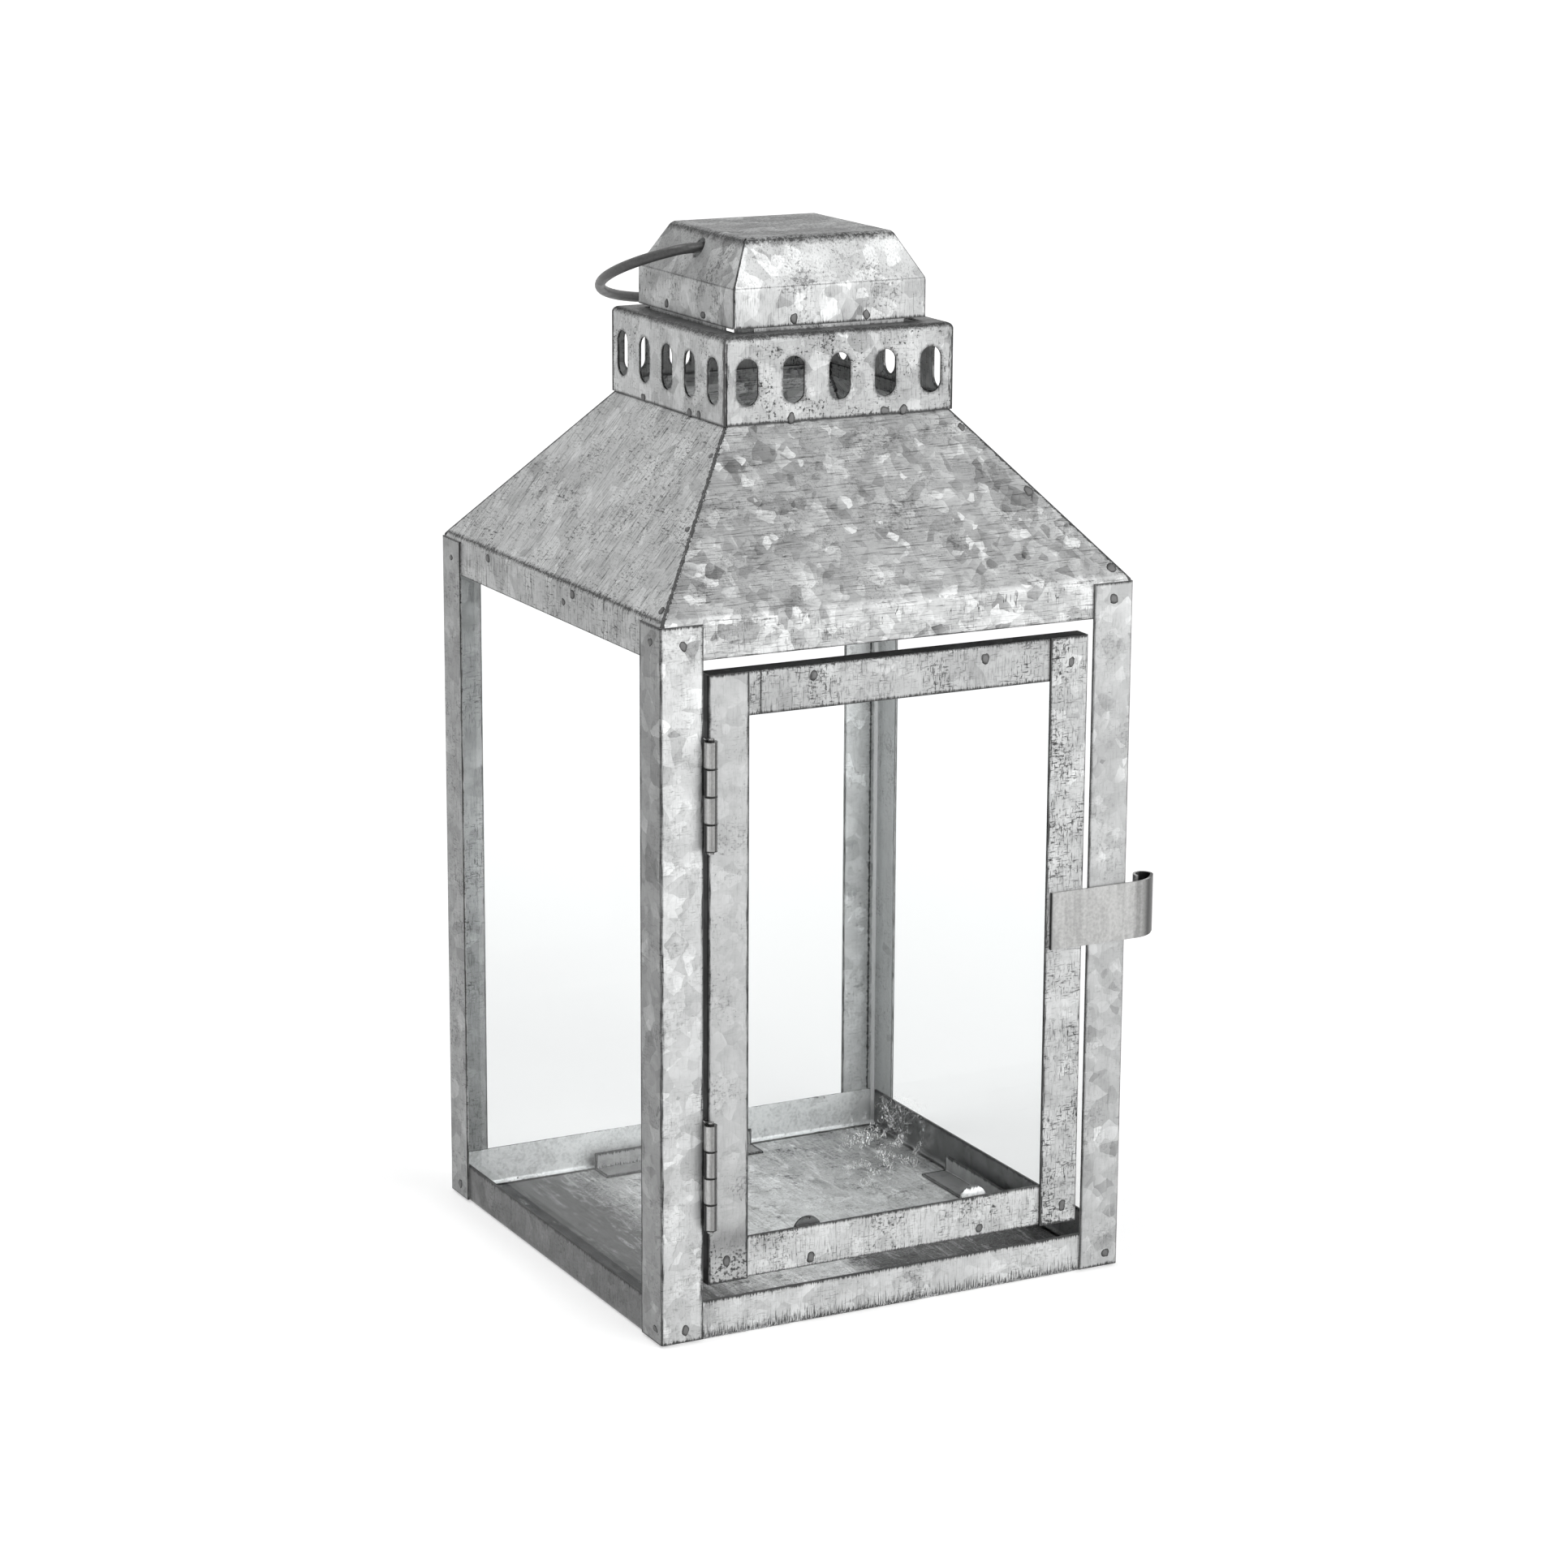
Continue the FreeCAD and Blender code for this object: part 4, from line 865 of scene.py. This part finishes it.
def grow(name, start, tree, values):
    """Run a geometry tree on a mesh with its inputs set, and keep the result as a plain mesh."""
    holder = new_object(f"{name}_holder", start)
    modifier = holder.modifiers.new(name, "NODES")
    modifier.node_group = tree
    for item in tree.interface.items_tree:
        if item.in_out == "INPUT" and item.name in values:
            modifier[item.identifier] = values[item.name]
    done = holder.evaluated_get(bpy.context.evaluated_depsgraph_get())
    mesh = bpy.data.meshes.new_from_object(done)
    mesh.name = name
    holder.modifiers.remove(modifier)
    bpy.data.objects.remove(holder)
    return new_object(name, mesh)


class LANTERN_OT_bail(bpy.types.Operator):
    """Sweep the round wire of the bail through the two cap holes"""
    bl_idname = "lantern.bail"
    bl_label = "Wire bail"

    def execute(self, context):
        settings = context.scene.lantern
        points = bail_path(settings.bail)
        line = bpy.data.meshes.new("bail_line")
        line.from_pydata(points, [(step, step + 1) for step in range(len(points) - 1)], [])
        # Drawn steel wire, dull and dark, with fine lines along it
        wire = drawn_steel(
            "drawn_bail_wire", settings.steel.wire, roughness=0.42, grain=(6.0, 6.0, 0.8), metallic=0.6,
        )
        tree = node_tree("wire_sweep", ["Wire radius"])
        given = add(tree, "NodeGroupInput").node
        path = add(tree, "GeometryNodeMeshToCurve", {"Mesh": given.outputs["Geometry"]})
        section = add(
            tree, "GeometryNodeCurvePrimitiveCircle",
            {"Resolution": 24, "Radius": given.outputs["Wire radius"]},
        )
        swept = add(
            tree, "GeometryNodeCurveToMesh", {"Curve": path, "Profile Curve": section, "Fill Caps": True},
        )
        smooth = add(tree, "GeometryNodeSetShadeSmooth", {"Geometry": swept})
        real = add(tree, "GeometryNodeRealizeInstances", {"Geometry": smooth})
        finished = add(tree, "GeometryNodeSetMaterial", {"Geometry": real, "Material": wire})
        add(tree, "NodeGroupOutput", {"Geometry": finished})
        piece = grow("bail_round_wire", line, tree, {"Wire radius": settings.bail.wire_radius})
        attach(piece, "bail")
        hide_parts("bail_handle")
        return {"FINISHED"}


def turned_sides(quarters, spots):
    """The same spots on several sides of the lantern, counted in quarter turns from the front."""
    turned = []
    for quarter in quarters:
        turn = Matrix.Rotation(quarter * math.pi / 2, 3, "Z")
        turned += [(turn @ Vector(place), turn @ Vector(facing)) for place, facing in spots]
    return turned


FRONT = (0, -1, 0)
SLOPE = (0, -0.766, 0.643)

# Spot welds, in millimetres with the way they face
CASE_WELDS = turned_sides((0, 1, 2, 3), [
    ((-68.0, -75.0, 201.6), FRONT),
    ((-67.6, -75.0, 4.4), FRONT),
    ((68.6, -75.0, 202.4), FRONT),
    ((70.8, -75.0, 4.7), FRONT),
    ((69.2, -71.9, 210.7), SLOPE),
    ((-15.4, -36.5, 254.6), FRONT),
    ((14.5, -36.5, 254.6), FRONT),
    ((20.6, -36.5, 254.7), FRONT),
    ((-11.8, -30.75, 281.7), FRONT),
    ((11.5, -30.75, 281.5), FRONT),
]) + turned_sides((0, 2), [
    ((37.7, -40.0, 248.6), SLOPE),
    ((51.9, -54.4, 231.5), SLOPE),
]) + turned_sides((1, 3), [
    ((39.3, -41.9, 246.3), SLOPE),
    ((53.5, -56.3, 229.2), SLOPE),
]) + turned_sides((1, 2, 3), [
    ((-42.1, -74.4, 205.6), FRONT),
    ((17.0, -74.4, 205.8), FRONT),
    ((10.9, -74.4, 202.5), FRONT),
])
DOOR_WELDS = [(Vector(place), Vector(FRONT)) for place in (
    (54.6, -75.3, 185.6),
    (-54.8, -75.3, 23.1),
    (55.2, -75.3, 22.1),
    (-27.8, -74.7, 189.6),
    (26.6, -74.7, 188.9),
    (-27.6, -74.7, 19.5),
    (27.6, -74.7, 19.3),
)]


class LANTERN_OT_welds(bpy.types.Operator):
    """Set the spot welds that hold the sheets together"""
    bl_idname = "lantern.welds"
    bl_label = "Spot welds"

    def execute(self, context):
        settings = context.scene.lantern.weld
        material = self.burnt_zinc()
        tree = self.weld_tree(settings.seed, material)
        values = {"Width": settings.width, "Length": settings.length, "Height": settings.height}
        for name, body, welds in (
            ("case_spot_welds", "lantern_body", CASE_WELDS),
            ("door_spot_welds", "door", DOOR_WELDS),
        ):
            mesh = bpy.data.meshes.new(f"{name}_places")
            mesh.from_pydata([place * MM for place, facing in welds], [], [])
            facing = mesh.attributes.new("facing", "FLOAT_VECTOR", "POINT")
            for index, (place, direction) in enumerate(welds):
                facing.data[index].vector = direction
            piece = grow(name, mesh, tree, values)
            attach(piece, body)
        return {"FINISHED"}

    def burnt_zinc(self):
        # Zinc burnt off by the weld: dull dark grey, darkest in a ring at the rim
        material, tree, shader = new_material("burnt_zinc")
        rim = add(tree, "ShaderNodeAttribute", output="Fac", attribute_name="rim")
        place = add(tree, "ShaderNodeTexCoord", output="Object")
        mottle = add(tree, "ShaderNodeTexNoise", {"Vector": place, "Scale": 900.0, "Detail": 3.0})
        ring = add(tree, "ShaderNodeMath", [mottle, 0.5, rim], operation="MULTIPLY_ADD")
        level = add(tree, "ShaderNodeMapRange", [ring, 0.75, 1.25, 0.15, 0.025])
        grey = add(tree, "ShaderNodeCombineColor", [level, level, level])
        bump = add(tree, "ShaderNodeBump", {"Strength": 0.4, "Distance": 0.1 * MM, "Height": mottle})
        feed(tree, shader, {"Base Color": grey, "Metallic": 0.6, "Roughness": 0.55, "Normal": bump})
        return material

    def weld_tree(self, seed, material):
        tree = node_tree("spot_welds", ["Width", "Length", "Height"])
        given = add(tree, "NodeGroupInput").node
        ball = add(tree, "GeometryNodeMeshUVSphere", {"Segments": 18, "Rings": 10, "Radius": 1.0})
        place = add(tree, "GeometryNodeInputPosition")
        flat = add(tree, "ShaderNodeVectorMath", [place, (1, 1, 0)], operation="MULTIPLY")
        reach = add(tree, "ShaderNodeVectorMath", [flat], "Value", operation="LENGTH")
        marked = add(
            tree, "GeometryNodeStoreNamedAttribute",
            {"Geometry": ball, "Name": "rim", "Value": reach}, data_type="FLOAT", domain="POINT",
        )
        facing = add(
            tree, "GeometryNodeInputNamedAttribute", {"Name": "facing"}, data_type="FLOAT_VECTOR",
        )
        turn = add(tree, "FunctionNodeAlignRotationToVector", {"Vector": facing}, axis="Z")
        size = add(
            tree, "ShaderNodeCombineXYZ",
            [given.outputs["Width"], given.outputs["Length"], given.outputs["Height"]],
        )
        uneven = add(
            tree, "FunctionNodeRandomValue",
            {"Min": (0.8, 0.75, 0.8), "Max": (1.2, 1.1, 1.2), "Seed": seed}, data_type="FLOAT_VECTOR",
        )
        scale = add(tree, "ShaderNodeVectorMath", [size, uneven], operation="MULTIPLY")
        spots = add(
            tree, "GeometryNodeInstanceOnPoints",
            {"Points": given.outputs["Geometry"], "Instance": marked, "Rotation": turn, "Scale": scale},
        )
        real = add(tree, "GeometryNodeRealizeInstances", {"Geometry": spots})
        # Uneven outlines: points move within the sheet's own plane
        noise = add(tree, "ShaderNodeTexNoise", {"Vector": place, "Scale": 550.0, "Detail": 1.0}, "Color")
        shift = add(tree, "ShaderNodeVectorMath", [noise, NOISE_MIDDLE], operation="SUBTRACT")
        lift = add(tree, "ShaderNodeVectorMath", [shift, facing], operation="PROJECT")
        along = add(tree, "ShaderNodeVectorMath", [shift, lift], operation="SUBTRACT")
        offset = add(tree, "ShaderNodeVectorMath", {0: along, "Scale": 1.5 * MM}, operation="SCALE")
        ragged = add(tree, "GeometryNodeSetPosition", {"Geometry": real, "Offset": offset})
        smooth = add(tree, "GeometryNodeSetShadeSmooth", {"Geometry": ragged})
        finished = add(tree, "GeometryNodeSetMaterial", {"Geometry": smooth, "Material": material})
        add(tree, "NodeGroupOutput", {"Geometry": finished})
        return tree


class LANTERN_OT_stage(bpy.types.Operator):
    """Set the pale floor, the lamps and the camera"""
    bl_idname = "lantern.stage"
    bl_label = "Stage"

    def execute(self, context):
        settings = context.scene.lantern.stage
        context.scene.view_settings.view_transform = "Standard"
        self.floor(settings)
        self.world(context)
        self.lamp("key_softbox", place=(0.70, -1.33, 0.78), size=1.7, power=20.5)
        self.lamp("fill_softbox", place=(-0.45, 0.2, 1.35), size=0.6, power=4.0)
        self.camera(context, settings)
        return {"FINISHED"}

    def seen(self, tree):
        # True where the camera looks, straight, by reflection or through glass
        rays = add(tree, "ShaderNodeLightPath").node.outputs
        return strongest(tree, rays["Is Camera Ray"], rays["Is Glossy Ray"], rays["Is Transmission Ray"])

    def floor(self, settings):
        half = settings.floor_size / 2
        mesh = bpy.data.meshes.new("floor")
        mesh.from_pydata(
            [(-half, -half, 0), (half, -half, 0), (half, half, 0), (-half, half, 0)], [], [(0, 1, 2, 3)],
        )
        floor = new_object("floor", mesh)
        # Seamless white paper: white to the eye, with a soft shadow under the lantern; the lamps reach
        # less of it far away, so it is paler there
        material, tree, shader = new_material("white_paper")
        place = add(tree, "ShaderNodeTexCoord", output="Object")
        distance = add(tree, "ShaderNodeVectorMath", [place], "Value", operation="LENGTH")
        white = add(tree, "ShaderNodeMapRange", [distance, 0.2, 1.6, 0.5, 0.78])
        glow = add(tree, "ShaderNodeMath", [self.seen(tree), white], operation="MULTIPLY")
        feed(tree, shader, {
            "Base Color": (*settings.floor_colour, 1), "Roughness": 0.9,
            "Emission Color": (1, 1, 1, 1), "Emission Strength": glow,
        })
        floor.data.materials.append(material)

    def world(self, context):
        world = bpy.data.worlds.new("studio")
        world.use_nodes = True
        tree = world.node_tree
        level = add(tree, "ShaderNodeMapRange", [self.seen(tree), 0.0, 1.0, 0.34, 1.0])
        feed(tree, tree.nodes["Background"], {"Color": (1, 1, 1, 1), "Strength": level})
        context.scene.world = world

    def lamp(self, name, place, size, power):
        light = bpy.data.lights.new(name, "AREA")
        light.size = size
        light.energy = power
        lamp = new_object(name, light)
        lamp.location = place
        lamp.rotation_euler = (LAMP_AIM - lamp.location).to_track_quat("-Z", "Y").to_euler()

    def camera(self, context, settings):
        lens = bpy.data.cameras.new("camera")
        lens.lens = settings.lens
        lens.sensor_width = 36.0
        turn = settings.azimuth
        rise = settings.elevation
        back = Vector((math.sin(turn) * math.cos(rise), -math.cos(turn) * math.cos(rise), math.sin(rise)))
        right = Vector((math.cos(turn), math.sin(turn), 0))
        up = back.cross(right)
        aim = right * settings.aim_right + Vector((0, 0, settings.aim_height))
        level = right * math.cos(settings.roll) + up * math.sin(settings.roll)
        upright = back.cross(level)
        place = Matrix((level, upright, back)).transposed().to_4x4()
        place.translation = aim + back * settings.distance
        camera = new_object("camera", lens)
        camera.matrix_world = place
        context.scene.camera = camera


PIECES = (
    LANTERN_OT_sheets,
    LANTERN_OT_glass,
    LANTERN_OT_fittings,
    LANTERN_OT_bail,
    LANTERN_OT_welds,
    LANTERN_OT_stage,
)


def own_values(group):
    """Names of the values that a group of settings declares itself."""
    return [name for name in group.bl_rna.properties.keys() if name not in ("rna_type", "name")]


class LANTERN_PT_pieces(bpy.types.Panel):
    """Pieces of the lantern and their sizes"""
    bl_idname = "LANTERN_PT_pieces"
    bl_label = "Lantern"
    bl_space_type = "VIEW_3D"
    bl_region_type = "UI"
    bl_category = "Lantern"

    def draw(self, context):
        for piece in PIECES:
            self.layout.operator(piece.bl_idname)
        settings = context.scene.lantern
        for group in own_values(settings):
            box = self.layout.box()
            box.label(text=group.capitalize())
            values = getattr(settings, group)
            for name in own_values(values):
                box.prop(values, name)


CLASSES = (
    SheetSettings,
    GlassSettings,
    SteelSettings,
    BailSettings,
    WeldSettings,
    StageSettings,
    LanternSettings,
    *PIECES,
    LANTERN_PT_pieces,
)


def register():
    for item in CLASSES:
        bpy.utils.register_class(item)
    bpy.types.Scene.lantern = PointerProperty(type=LanternSettings)


def unregister():
    del bpy.types.Scene.lantern
    for item in reversed(CLASSES):
        bpy.utils.unregister_class(item)


def main():
    register()
    for piece in PIECES:
        group, name = piece.bl_idname.split(".")
        getattr(getattr(bpy.ops, group), name)()


if __name__ == "__main__":
    main()
